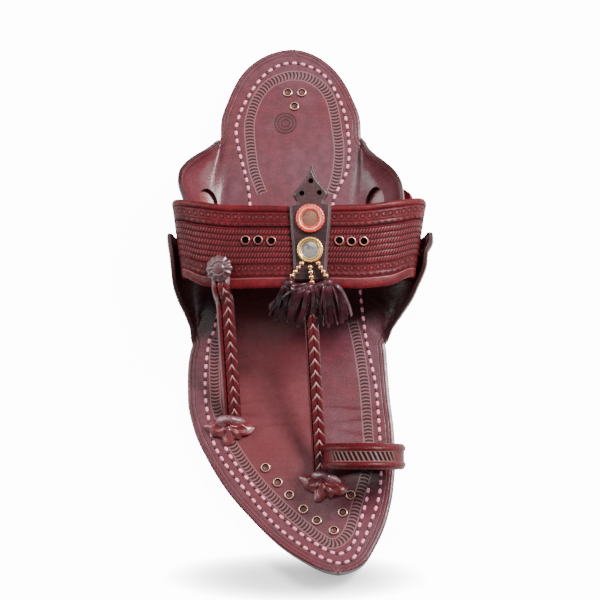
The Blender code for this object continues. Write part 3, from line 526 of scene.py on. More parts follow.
@dataclass(frozen=True)
class Last:
    """The shoe's own sizes, and the lines of sole, footbed and ears worked out from them."""

    length: float = 278 * MM
    heel_width: float = 73 * MM
    ball_width: float = 102 * MM
    sole_thickness: float = 5.0 * MM
    heel_lift: float = 7.5 * MM
    toe_spring: float = 6.0 * MM
    bed_thickness: float = 2.8 * MM
    gap: float = 0.3 * MM
    heel_centre: float = 0.15
    lift_front: float = 0.30
    arch_start: float = 0.31
    ball_start: float = 0.60
    ball_end: float = 0.82
    waist_start: float = 0.35
    waist_run: float = 0.25
    slit_rear: float = 0.370
    slit_front: float = 0.399
    slit_depth: float = 0.26
    ear_flare: float = 25 * MM
    ear_height: float = 25 * MM
    outline: tuple[Outline, ...] = (
        Outline(0.000, 0.000, 0.000), Outline(0.018, -0.230, 0.205), Outline(0.049, -0.355, 0.330),
        Outline(0.095, -0.440, 0.430), Outline(0.155, -0.500, 0.500), Outline(0.200, -0.497, 0.503),
        Outline(0.287, -0.452, 0.466), Outline(0.341, -0.445, 0.459), Outline(0.395, -0.450, 0.470),
        Outline(0.459, -0.454, 0.472), Outline(0.538, -0.466, 0.482), Outline(0.625, -0.495, 0.497),
        Outline(0.681, -0.490, 0.510), Outline(0.737, -0.455, 0.528), Outline(0.792, -0.383, 0.535),
        Outline(0.846, -0.290, 0.525), Outline(0.901, -0.159, 0.495), Outline(0.954, -0.006, 0.436),
        Outline(0.981, 0.109, 0.390), Outline(1.000, 0.265, 0.265),
    )
    ears: tuple[Ear, ...] = (
        Ear(0.180, 0.00, 0.00, 0.00), Ear(0.213, 0.25, 0.13, 0.34), Ear(0.236, 0.51, 0.32, 0.58),
        Ear(0.258, 0.72, 0.56, 0.78), Ear(0.277, 0.83, 0.76, 0.90), Ear(0.295, 0.85, 0.88, 0.98),
        Ear(0.309, 0.83, 0.94, 1.00), Ear(0.338, 0.74, 0.98, 1.00), Ear(0.370, 0.72, 0.98, 0.98),
        Ear(0.399, 0.97, 1.46, 1.02), Ear(0.416, 0.92, 1.43, 1.03), Ear(0.433, 0.84, 1.29, 1.04),
        Ear(0.459, 0.72, 1.17, 1.02), Ear(0.488, 0.58, 0.92, 0.92), Ear(0.510, 0.42, 0.70, 0.76),
        Ear(0.531, 0.22, 0.42, 0.52), Ear(0.553, 0.06, 0.14, 0.22), Ear(0.575, 0.00, 0.00, 0.00),
    )

    def place(self, along: Array) -> Array:
        """Y of a share of the length, counted from the back of the heel."""
        return (self.heel_centre - np.asarray(along, dtype=float)) * self.length

    def share_at(self, y: Array) -> Array:
        """Share of the length at a Y."""
        return self.heel_centre - np.asarray(y, dtype=float) / self.length

    def edge(self, along: Array, side: Side) -> Array:
        """X of the sole's edge: the outline read by arccos(1 - 2 share), so that both ends are round."""
        turn = np.arccos(1.0 - 2.0 * column(self.outline, "along"))
        at = np.arccos(1.0 - 2.0 * np.clip(along, 0.0, 1.0))
        broad = smooth((np.asarray(along) - self.waist_start) / self.waist_run)
        width = self.heel_width + (self.ball_width - self.heel_width) * broad
        return monotone(turn, column(self.outline, side.name.lower()), at) * width

    def ground(self, along: Array) -> Array:
        """Height of the sole's underside: up at the heel, flat at the ball, a parabola up at the toe."""
        arch = 1.0 - smooth((np.asarray(along) - self.arch_start) / (self.ball_start - self.arch_start))
        spring = np.clip((np.asarray(along) - self.ball_end) / (1.0 - self.ball_end), 0.0, 1.0)
        return (self.heel_lift + self.gap) * arch + self.toe_spring * spring**2

    def bed(self, along: Array) -> Array:
        """Height of the middle of the footbed's leather."""
        return self.ground(along) + self.sole_thickness + self.gap + self.bed_thickness / 2

    def bed_top(self, along: Array) -> Array:
        """Height of the footbed's upper face."""
        return self.bed(along) + self.bed_thickness / 2

    def slit_foot(self) -> float:
        """Height of the lower end of the ears' slits."""
        return float(self.bed((self.slit_rear + self.slit_front) / 2)) + self.ear_height * self.slit_depth

    def bed_slope(self, along: float) -> Array:
        """Unit vector out of the footbed at a share of the length."""
        rise = float(self.bed_top(along + 0.01) - self.bed_top(along)) / (0.01 * self.length)
        return unit(np.array([0.0, rise, 1.0]))

    def flare(self, along: Array, side: Side) -> Array:
        """Reach of an ear past the sole's edge."""
        return self.ear_flare * read(self.ears, "along", side.name.lower(), along)

    def rise(self, along: Array) -> Array:
        """Height of an ear's rim over the bed."""
        return self.ear_height * read(self.ears, "along", "height", along)

    def ear_length(self, along: Array, side: Side) -> Array:
        """Length of the leather from the sole's edge to the rim, a quarter turn."""
        return (self.flare(along, side) + self.rise(along)) * math.pi / 4

    def bed_point(self, along: Array, side: Side, beyond: Array) -> Array:
        """A point of the footbed's middle surface.

        Args:
            along: Shares of the length.
            side: Side of the shoe.
            beyond: Length of leather past the sole's edge, below zero inside it.

        Returns:
            Points that stay flat inside the edge and then rise on a quarter of an ellipse.
        """
        reach = self.flare(along, side)
        turn = np.clip(beyond, 0.0, None) / np.maximum(self.ear_length(along, side), 1e-9) * math.pi / 2
        x = self.edge(along, side) + side.value * (np.minimum(beyond, 0.0) + reach * np.sin(turn))
        z = self.bed(along) + self.rise(along) * (1.0 - np.cos(turn))
        return np.stack([x, self.place(along), z], axis=-1)

    def on_bed(self, flat: Array, lift: float = 0.0) -> Array:
        """Flat points laid on the footbed's upper face, raised by a lift."""
        high = self.bed_top(self.share_at(flat[..., 1])) + lift
        return np.concatenate([flat, high[..., None]], axis=-1)

    def spot(self, where: Spot, width: Optional[float] = None) -> Array:
        """Flat place of a spot, its X in shares of the ball width or of a given width."""
        return np.array([where.across * (width or self.ball_width), float(self.place(where.along))])


@dataclass(frozen=True)
class BandForm:
    """Sizes of the instep band and the surface worked out from them."""

    last: Last
    thickness: float = 2.4 * MM
    lateral: float = 56.6 * MM
    medial: float = 69.2 * MM
    taper: float = 6.0 * MM
    shoulder: float = 23 * MM
    rise_rear: float = 45.5 * MM
    rise_front: float = 42.5 * MM
    squareness: float = 2.5
    crossing: float = 0.75
    edges: tuple[BandEdge, ...] = (
        BandEdge(0.00, 0.377, 0.518),
        BandEdge(0.50, 0.372, 0.518),
        BandEdge(0.80, 0.358, 0.509),
        BandEdge(1.00, 0.341, 0.481),
    )
    tongues: tuple[BandEdge, ...] = (
        BandEdge(0.00, 0.282, 0.455),
        BandEdge(0.40, 0.284, 0.458),
        BandEdge(0.55, 0.300, 0.464),
        BandEdge(0.68, 0.336, 0.471),
        BandEdge(1.00, 0.341, 0.481),
    )

    def half(self, along: Array, side: Side) -> Array:
        """Distance of the band's shoulder from the middle line, less towards the toe."""
        width = self.lateral if side is Side.LATERAL else self.medial
        first, last = self.edges[-1].rear, self.edges[-1].front
        return width - self.taper * (np.asarray(along) - first) / (last - first)

    def top(self, reach: Array, across: Array) -> Array:
        """Middle surface of the arch: a superellipse of height over X, from rear to front edge."""
        reach = np.asarray(reach, dtype=float)
        inner = np.clip(np.asarray(across, dtype=float), 0.0, 1.0)
        rear = read(self.edges, "reach", "rear", np.abs(reach))
        front = read(self.edges, "reach", "front", np.abs(reach))
        along = rear + (front - rear) * inner
        medial, lateral = self.half(along, Side.MEDIAL), self.half(along, Side.LATERAL)
        x = (medial - lateral) / 2 + reach * (medial + lateral) / 2
        rise = self.rise_rear + (self.rise_front - self.rise_rear) * inner
        arch = (1.0 - np.minimum(np.abs(reach), 1.0) ** self.squareness) ** (1.0 / self.squareness)
        z = self.last.bed(along) + self.shoulder + (rise - self.shoulder) * arch
        return np.stack([x, self.last.place(along), z], axis=-1)

    def end(self, turn: Array, across: Array, side: Side) -> Array:
        """Middle surface of a band end: a quarter ellipse, outside the rear lobe, inside the front one."""
        last = self.last
        rear = read(self.tongues, "reach", "rear", turn)
        front = read(self.tongues, "reach", "front", turn)
        along = rear + (front - rear) * np.asarray(across)
        clear = (self.thickness + last.bed_thickness) / 2 + 2 * last.gap
        crossing = self.crossing * (last.slit_front - last.slit_rear)
        inside = 2.0 * smooth((along - last.slit_rear) / crossing) - 1.0
        root_x = last.edge(along, side)
        root_z = last.bed(along) + clear * inside
        reach = self.half(along, side) - np.abs(root_x)
        rise = last.bed(along) + self.shoulder - root_z
        angle = np.asarray(turn) * math.pi / 2
        x = root_x + side.value * reach * np.sin(angle)
        z = root_z + rise * (1.0 - np.cos(angle))
        return np.stack([x, last.place(along), z], axis=-1)

    def skin(self, reach: Array, across: Array, lift: Array) -> tuple[Array, Array]:
        """Points over the arch's upper face, and the unit vectors out of it."""
        step = 0.01
        here = self.top(reach, across)
        side = self.top(np.asarray(reach) + step, across) - here
        inner = np.clip(across, 0, 1 - step)
        front = self.top(reach, inner + step) - self.top(reach, inner)
        beyond = np.asarray(across) - np.clip(across, 0.0, 1.0)
        out = unit(np.cross(front, side))
        here = here + front / step * beyond[..., None]
        return here + out * (self.thickness / 2 + np.asarray(lift))[..., None], out

    def reach_at(self, x: Array, across: Array) -> Array:
        """Reach on the arch at an X."""
        middle = self.edges[0]
        along = middle.rear + (middle.front - middle.rear) * np.clip(across, 0, 1)
        medial, lateral = self.half(along, Side.MEDIAL), self.half(along, Side.LATERAL)
        return (np.asarray(x) - (medial - lateral) / 2) / ((medial + lateral) / 2)


class Nodes:
    """Short calls that add and link the nodes of one material or node group."""

    def __init__(self, tree: bpy.types.NodeTree) -> None:
        """Keep the tree that the nodes go into."""
        self.tree = tree

    def add(self, kind: str, values: Optional[dict] = None, **settings) -> bpy.types.Node:
        """Add a node.

        Args:
            kind: Its type name.
            values: Socket name or number to a value, a colour of three shares or an output socket.
            settings: Properties of the node itself.

        Returns:
            The node, with its inputs set or linked.
        """
        node = self.tree.nodes.new(kind)
        for name, value in settings.items():
            setattr(node, name, value)
        for name, value in (values or {}).items():
            socket = node.inputs[name]
            if isinstance(value, Socket):
                self.tree.links.new(value, socket)
            else:
                socket.default_value = (*value, 1.0) if socket.type == "RGBA" else value
        return node

    def math(self, operation: str, first, second=0.0, third=0.0) -> Socket:
        """Result of a Math node."""
        node = self.add("ShaderNodeMath", {0: first, 1: second, 2: third}, operation=operation)
        return node.outputs[0]

    def times(self, first, second) -> Socket:
        """Product of two values."""
        return self.math("MULTIPLY", first, second)

    def most(self, first, second) -> Socket:
        """The larger of two values."""
        return self.math("MAXIMUM", first, second)

    def apart(self, first, second) -> Socket:
        """Distance between two values."""
        return self.math("ABSOLUTE", self.math("SUBTRACT", first, second))

    def ramp(self, value, low: float, high: float) -> Socket:
        """Share from 0 to 1 that a value has covered between two others, eased at both."""
        inputs = {"Value": value, "From Min": low, "From Max": high}
        node = self.add("ShaderNodeMapRange", inputs, interpolation_type="SMOOTHSTEP")
        return node.outputs["Result"]

    def noise(self, vector, scale, detail: float = 3.0, roughness: float = 0.5) -> Socket:
        """A noise value."""
        inputs = {"Vector": vector, "Scale": scale, "Detail": detail, "Roughness": roughness}
        return self.add("ShaderNodeTexNoise", inputs).outputs["Fac"]

    def mix(self, share, first, second) -> Socket:
        """A colour between two."""
        return self.add("ShaderNodeMix", {0: share, 6: first, 7: second}, data_type="RGBA").outputs[2]

    def place(self) -> Socket:
        """Object coordinates of the piece itself."""
        return self.add("ShaderNodeTexCoord").outputs["Object"]

    def oval(self, oval: Oval) -> Socket:
        """Distance from the middle of an oval at any height, as a share of its half sizes."""
        moved = (-oval.x / oval.half_x, -oval.y / oval.half_y, 0.0)
        scale = (1.0 / oval.half_x, 1.0 / oval.half_y, 0.0)
        spot = self.add("ShaderNodeMapping", {"Vector": self.place(), "Location": moved, "Scale": scale})
        return self.add("ShaderNodeVectorMath", {0: spot.outputs[0]}, operation="LENGTH").outputs["Value"]

    def pair(self, name: str) -> tuple[Socket, Socket]:
        """The two values of a piece's own map."""
        chart = self.add("ShaderNodeUVMap", uv_map=name)
        split = self.add("ShaderNodeSeparateXYZ", {"Vector": chart.outputs["UV"]})
        return split.outputs["X"], split.outputs["Y"]


def new_group(name: str, inputs: dict[str, tuple[str, object]], outputs: dict[str, str]) -> tuple:
    """A shader node group with named sockets.

    Args:
        name: Name of the group.
        inputs: Socket name to its type and default value.
        outputs: Socket name to its type.

    Returns:
        The tree, its Nodes helper, and the group's input and output nodes.
    """
    tree = bpy.data.node_groups.new(name, "ShaderNodeTree")
    for title, (kind, value) in inputs.items():
        socket = tree.interface.new_socket(name=title, in_out="INPUT", socket_type=kind)
        if value is not None:
            socket.default_value = (*value, 1.0) if kind == COLOUR else value
    for title, kind in outputs.items():
        tree.interface.new_socket(name=title, in_out="OUTPUT", socket_type=kind)
    nodes = Nodes(tree)
    return tree, nodes, nodes.add("NodeGroupInput"), nodes.add("NodeGroupOutput")


FLOAT = "NodeSocketFloat"
COLOUR = "NodeSocketColor"
VECTOR = "NodeSocketVector"
Colour = tuple[float, float, float]


class SharedEffects:
    """Node groups that finishes use: leather grain, clouds of dye and the tooled ladder."""

    def __init__(self) -> None:
        """Build each group once."""
        self.grain = self.make_grain()
        self.mottle = self.make_mottle()
        self.ladder = self.make_ladder()

    def make_grain(self) -> bpy.types.NodeTree:
        """Leather grain: a height from pebble cells, fine pores and long soft creases."""
        tree, n, start, end = new_group(
            "leather_grain",
            {"Place": (VECTOR, None), "Cells": (FLOAT, 900.0), "Creases": (FLOAT, 0.5)},
            {"Height": FLOAT, "Pores": FLOAT},
        )
        place, cells = start.outputs["Place"], start.outputs["Cells"]
        wobble = n.add("ShaderNodeTexNoise", {"Vector": place, "Scale": 260.0, "Detail": 2.0})
        moved = n.add("ShaderNodeVectorMath", {0: wobble.outputs["Color"], 3: 0.0012}, operation="SCALE")
        bent = n.add("ShaderNodeVectorMath", {0: place, 1: moved.outputs[0]}, operation="ADD").outputs[0]
        pebble = n.add("ShaderNodeTexVoronoi", {"Vector": bent, "Scale": cells}, feature="DISTANCE_TO_EDGE")
        cell_height = n.ramp(pebble.outputs["Distance"], 0.0, 0.35)
        pores = n.noise(bent, 1500.0, 3.0, 0.6)
        stretch = n.add("ShaderNodeMapping", {"Vector": bent, "Scale": (55.0, 420.0, 120.0)})
        creases = n.ramp(n.noise(stretch.outputs[0], 1.0, 4.0, 0.65), 0.42, 0.58)
        low = n.times(creases, start.outputs["Creases"])
        height = n.math("ADD", n.times(cell_height, 0.45), n.times(pores, 0.35))
        tree.links.new(n.math("ADD", height, low), end.inputs["Height"])
        tree.links.new(pores, end.inputs["Pores"])
        return tree

    def make_mottle(self) -> bpy.types.NodeTree:
        """Hand-dyed leather: three tones laid over each other in clouds, and a gloss to match."""
        tree, n, start, end = new_group(
            "dye_mottle",
            {
                "Place": (VECTOR, None), "Deep": (COLOUR, (0.1, 0.02, 0.03)),
                "Main": (COLOUR, (0.2, 0.05, 0.06)), "Pale": (COLOUR, (0.3, 0.1, 0.12)),
                "Scale": (FLOAT, 30.0), "Gloss": (FLOAT, 0.3),
            },
            {"Color": COLOUR, "Roughness": FLOAT},
        )
        place, scale = start.outputs["Place"], start.outputs["Scale"]
        clouds = n.ramp(n.noise(place, scale, 4.0, 0.55), 0.36, 0.64)
        fine = n.noise(place, n.times(scale, 9.0), 5.0, 0.7)
        body = n.mix(clouds, start.outputs["Main"], start.outputs["Pale"])
        specks = n.ramp(fine, 0.38, 0.62)
        deep_share = n.times(n.math("SUBTRACT", 1.0, specks), 0.55)
        tree.links.new(n.mix(deep_share, body, start.outputs["Deep"]), end.inputs["Color"])
        rough = n.math("MULTIPLY_ADD", specks, -0.1, n.math("ADD", start.outputs["Gloss"], 0.08))
        tree.links.new(n.math("MULTIPLY_ADD", clouds, 0.06, rough), end.inputs["Roughness"])
        return tree

    def make_ladder(self) -> bpy.types.NodeTree:
        """Tooled ladder: slanting struck marks between two lines, by the distances off and along it."""
        tree, n, start, end = new_group(
            "tooled_ladder",
            {"Off": (FLOAT, 0.0), "Along": (FLOAT, 0.0), "Half": (FLOAT, 1.9), "Pitch": (FLOAT, 1.85),
             "Slant": (FLOAT, 0.35)},
            {"Marks": FLOAT, "Lines": FLOAT, "Between": FLOAT},
        )
        off, along = start.outputs["Off"], start.outputs["Along"]
        share = n.math("DIVIDE", off, start.outputs["Half"])
        lean = n.times(n.times(share, share), start.outputs["Slant"])
        phase = n.math("ADD", n.math("DIVIDE", along, start.outputs["Pitch"]), lean)
        wave = n.math("SINE", n.times(phase, 2 * math.pi))
        struck = n.ramp(wave, 0.10, 0.65)
        inside = n.ramp(n.math("ABSOLUTE", share), 1.0, 0.86)
        tree.links.new(n.times(struck, inside), end.inputs["Marks"])
        # Between: the strip between marks, where the footbed paints its highlight.
        between = n.times(n.ramp(wave, -0.35, -0.9), inside)
        tree.links.new(between, end.inputs["Between"])
        line = n.apart(n.math("ABSOLUTE", share), 1.13)
        tree.links.new(n.ramp(line, 0.14, 0.05), end.inputs["Lines"])
        return tree


@dataclass(frozen=True)
class LeatherLook:
    """Tones and surface of one leather."""

    name: str
    deep: Colour
    main: Colour
    pale: Colour
    gloss: float = 0.3
    mottle: float = 30.0
    cells: float = 900.0
    creases: float = 0.4
    bump: float = 0.25
    coat: float = 0.35
    coat_roughness: float = 0.22
    specular: float = 0.4

    def begin(self, effects: SharedEffects) -> tuple:
        """Start the material.

        Args:
            effects: The shared node groups.

        Returns:
            The material, its nodes, the shader, and the placed mottle and grain groups.
        """
        made = bpy.data.materials.new(self.name)
        made.use_nodes = True
        n = Nodes(made.node_tree)
        shader = made.node_tree.nodes["Principled BSDF"]
        shader.inputs["Coat Weight"].default_value = self.coat
        shader.inputs["Coat Roughness"].default_value = self.coat_roughness
        shader.inputs["Specular IOR Level"].default_value = self.specular
        place = n.place()
        dye = {"Place": place, "Deep": self.deep, "Main": self.main, "Pale": self.pale,
               "Scale": self.mottle, "Gloss": self.gloss}
        fibre = {"Place": place, "Cells": self.cells, "Creases": self.creases}
        mottle = n.add("ShaderNodeGroup", dye, node_tree=effects.mottle)
        grain = n.add("ShaderNodeGroup", fibre, node_tree=effects.grain)
        return made, n, shader, mottle, grain

    def finish(self, n: Nodes, shader: bpy.types.Node, colour, roughness, height, dull=None,
               depth: float = 0.3 * MM) -> None:
        """Link colour, roughness and a bump of a height to the shader, with no coat where it is dull."""
        links = n.tree.links
        if dull is not None:
            coat = n.times(n.math("SUBTRACT", 1.0, dull), self.coat)
            links.new(coat, shader.inputs["Coat Weight"])
            roughness = n.math("MULTIPLY_ADD", dull, 0.35, roughness)
        links.new(colour, shader.inputs["Base Color"])
        links.new(roughness, shader.inputs["Roughness"])
        bump = n.add("ShaderNodeBump", {"Strength": self.bump, "Distance": depth, "Height": height})
        links.new(bump.outputs["Normal"], shader.inputs["Normal"])

    def plain(self, effects: SharedEffects) -> Material:
        """The leather alone: its dye and its grain."""
        made, n, shader, mottle, grain = self.begin(effects)
        self.finish(n, shader, mottle.outputs["Color"], mottle.outputs["Roughness"], grain.outputs["Height"])
        return made


HEEL_ROW = spots(
    (0.3500, -0.2010), (0.3111, -0.1985), (0.2661, -0.2171), (0.2008, -0.2631), (0.1642, -0.2778),
    (0.1348, -0.2632), (0.1071, -0.2327), (0.0737, -0.1838), (0.0476, -0.1248), (0.0319, -0.0557),
    (0.0285, 0.0142), (0.0337, 0.0780), (0.0494, 0.1533), (0.0774, 0.2140), (0.1311, 0.2743),
    (0.1916, 0.2991), (0.2190, 0.2999), (0.2516, 0.2871), (0.2733, 0.2602), (0.3057, 0.2246),
    (0.3500, 0.2150),
)
OUTER_ROW = spots(
    (0.4700, -0.3450), (0.5100, -0.3500), (0.5516, -0.3700), (0.5669, -0.3898), (0.6166, -0.4039),
    (0.6714, -0.4028), (0.7291, -0.3765), (0.7695, -0.3450), (0.8129, -0.2696), (0.8613, -0.1643),
    (0.9050, -0.0642), (0.9376, 0.0391), (0.9632, 0.1412), (0.9774, 0.2161), (0.9825, 0.2642),
    (0.9801, 0.3032), (0.9707, 0.3401), (0.9386, 0.3842), (0.9016, 0.4225), (0.8647, 0.4524),
    (0.8329, 0.4640), (0.7795, 0.4624), (0.7088, 0.4514), (0.6543, 0.4379), (0.6063, 0.4119),
    (0.5652, 0.3886), (0.5112, 0.3696), (0.4500, 0.3550),
)
INNER_ROW = spots(
    (0.7678, -0.2996), (0.7979, -0.2485), (0.8396, -0.1572), (0.8781, -0.0662), (0.9100, 0.0239),
    (0.9369, 0.1133), (0.9589, 0.2106), (0.9649, 0.2589), (0.9622, 0.2936), (0.9511, 0.3236),
    (0.9336, 0.3473), (0.8966, 0.3741), (0.8630, 0.3977), (0.8329, 0.4094),
)
FRONT_LADDER = spots(
    (0.5635, -0.3558), (0.5925, -0.3627), (0.6269, -0.3617), (0.6612, -0.3553), (0.6952, -0.3454),
    (0.7325, -0.3023), (0.7762, -0.2413), (0.8363, -0.1221), (0.8898, 0.0225), (0.9369, 0.1744),
    (0.9471, 0.2361), (0.9369, 0.2880), (0.9134, 0.3220), (0.8597, 0.3598), (0.8329, 0.3811),
    (0.7896, 0.4067), (0.7291, 0.3983), (0.6612, 0.3843), (0.6269, 0.3719), (0.5925, 0.3576),
    (0.5584, 0.3388), (0.5300, 0.3200),
)
HEEL_LADDER = spots(
    (0.2949, -0.1328), (0.2733, -0.1570), (0.2371, -0.1869), (0.1642, -0.2103), (0.1274, -0.1988),
    (0.0941, -0.1639), (0.0700, -0.1095), (0.0569, -0.0357), (0.0543, 0.0155), (0.0577, 0.0762),
    (0.0718, 0.1421), (0.0941, 0.1895), (0.1237, 0.2184), (0.1642, 0.2364), (0.2008, 0.2487),
    (0.2371, 0.2453), (0.2661, 0.2324), (0.2949, 0.2105),
)
STAMP = Spot(0.1513, -0.0278)


class Fold(NamedTuple):
    """A soft trough in the footbed's leather: where it is, how long, how wide and how deep."""

    side: Side
    along: float
    beyond: float
    run: float
    width: float
    depth: float
    lean: float


FOLDS = (
    Fold(Side.LATERAL, 0.520, 5 * MM, 9 * MM, 1.3 * MM, 0.7 * MM, 0.9),
    Fold(Side.LATERAL, 0.535, 1 * MM, 8 * MM, 1.2 * MM, 0.6 * MM, 0.7),
    Fold(Side.LATERAL, 0.550, -3 * MM, 9 * MM, 1.1 * MM, 0.5 * MM, 0.5),
    Fold(Side.LATERAL, 0.215, 2 * MM, 14 * MM, 2.2 * MM, 0.8 * MM, 0.2),
    Fold(Side.LATERAL, 0.285, 1 * MM, 12 * MM, 2.0 * MM, 0.6 * MM, 0.15),
    Fold(Side.MEDIAL, 0.500, 7 * MM, 11 * MM, 1.4 * MM, 0.8 * MM, 0.8),
    Fold(Side.MEDIAL, 0.515, 3 * MM, 11 * MM, 1.3 * MM, 0.8 * MM, 0.8),
    Fold(Side.MEDIAL, 0.530, 0 * MM, 10 * MM, 1.2 * MM, 0.7 * MM, 0.7),
    Fold(Side.MEDIAL, 0.545, -3 * MM, 9 * MM, 1.2 * MM, 0.5 * MM, 0.6),
    Fold(Side.MEDIAL, 0.225, 2 * MM, 14 * MM, 2.2 * MM, 0.8 * MM, -0.2),
    Fold(Side.MEDIAL, 0.290, 1 * MM, 12 * MM, 2.0 * MM, 0.6 * MM, -0.15),
    Fold(Side.LATERAL, 0.690, -30 * MM, 17 * MM, 1.0 * MM, 0.40 * MM, 1.40),
    Fold(Side.LATERAL, 0.712, -24 * MM, 15 * MM, 1.0 * MM, 0.35 * MM, 1.62),
    Fold(Side.LATERAL, 0.735, -33 * MM, 18 * MM, 1.0 * MM, 0.35 * MM, 1.45),
    Fold(Side.MEDIAL, 0.700, -20 * MM, 15 * MM, 1.0 * MM, 0.40 * MM, 1.50),
    Fold(Side.MEDIAL, 0.722, -17 * MM, 12 * MM, 1.0 * MM, 0.35 * MM, 1.70),
    Fold(Side.MEDIAL, 0.745, -22 * MM, 13 * MM, 1.0 * MM, 0.30 * MM, 1.40),
)


def shares(count: int, near_ends: float = 1.0) -> Array:
    """Shares from 0 to 1, closer at both ends by a cosine as near_ends goes to 1."""
    even = np.linspace(0.0, 1.0, count)
    return (1.0 - near_ends) * even + near_ends * (1.0 - np.cos(even * math.pi)) / 2


@dataclass
class Sole:
    """Outsole and stacked heel lift with burnished edges."""

    last: Last
    inset: float = 0.6 * MM
    lift_inset: float = 1.2 * MM
    bevel: float = 0.7 * MM
    groove: float = 0.35 * MM
    groove_half: float = 0.09
    tip: float = 0.0002
    lift_rear: float = 0.006

    def section(self, thickness: float, layers: int) -> Array:
        """Half of a section as rows of inset and height: a rounded edge with a groove between layers."""
        height = np.linspace(0.0, 1.0, 12 * layers + 1)
        corner = np.minimum(height, 1.0 - height) * thickness / self.bevel
        inset = self.bevel * (1.0 - np.sqrt(1.0 - (1.0 - np.clip(corner, 0.0, 1.0)) ** 2))
        for joint in range(1, layers):
            inset = inset + self.groove * bump_at(height, joint / layers, self.groove_half)
        return np.stack([inset, height * thickness], axis=-1)

    def plate(self, along: Array, inset: float, low: Array, thickness: float, layers: int) -> Surface:
        """A plate of leather along the outline: its section carried from one end to the other."""
        section = self.section(thickness, layers)
        y = self.last.place(along)
        left = self.last.edge(along, Side.LATERAL) + inset
        right = self.last.edge(along, Side.MEDIAL) - inset
        half = np.maximum((right - left) / 2, 1e-6)
        fit = np.minimum(1.0, half / (4 * self.bevel))[:, None]
        rings, values = [], []
        for edge, sign, rows in ((left, 1.0, section), (right, -1.0, section[::-1])):
            x = edge[:, None] + sign * rows[None, :, 0] * fit
            z = low[:, None] + rows[None, :, 1]
            rings.append(np.stack([x, np.broadcast_to(y[:, None], x.shape), z], axis=-1))
            shown = np.broadcast_to(rows[None, :, 1] / thickness, x.shape)
            values.append(np.stack([shown, np.broadcast_to(along[:, None], x.shape)], axis=-1))
        return tube(np.concatenate(rings, axis=1), {"edge": np.concatenate(values, axis=1)})

    def build(self, leather: Material) -> None:
        """Make both plates in place of their solids."""
        along = shares(220) * (1.0 - 2 * self.tip) + self.tip
        outsole = self.plate(along, self.inset, self.last.ground(along), self.last.sole_thickness, 2)
        made = outsole.object("outsole_leather", leather, 50.0)
        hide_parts("outsole")
        part = 1.0 - np.cos(np.linspace(0.02, 1.0, 90) * math.pi / 2)
        along = self.lift_rear + (self.last.lift_front - self.lift_rear) * part
        lift = self.plate(along, self.lift_inset, np.zeros_like(along), self.last.heel_lift, 3)
        made = lift.object("heel_stack", leather, 50.0)
        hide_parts("heel_lift")


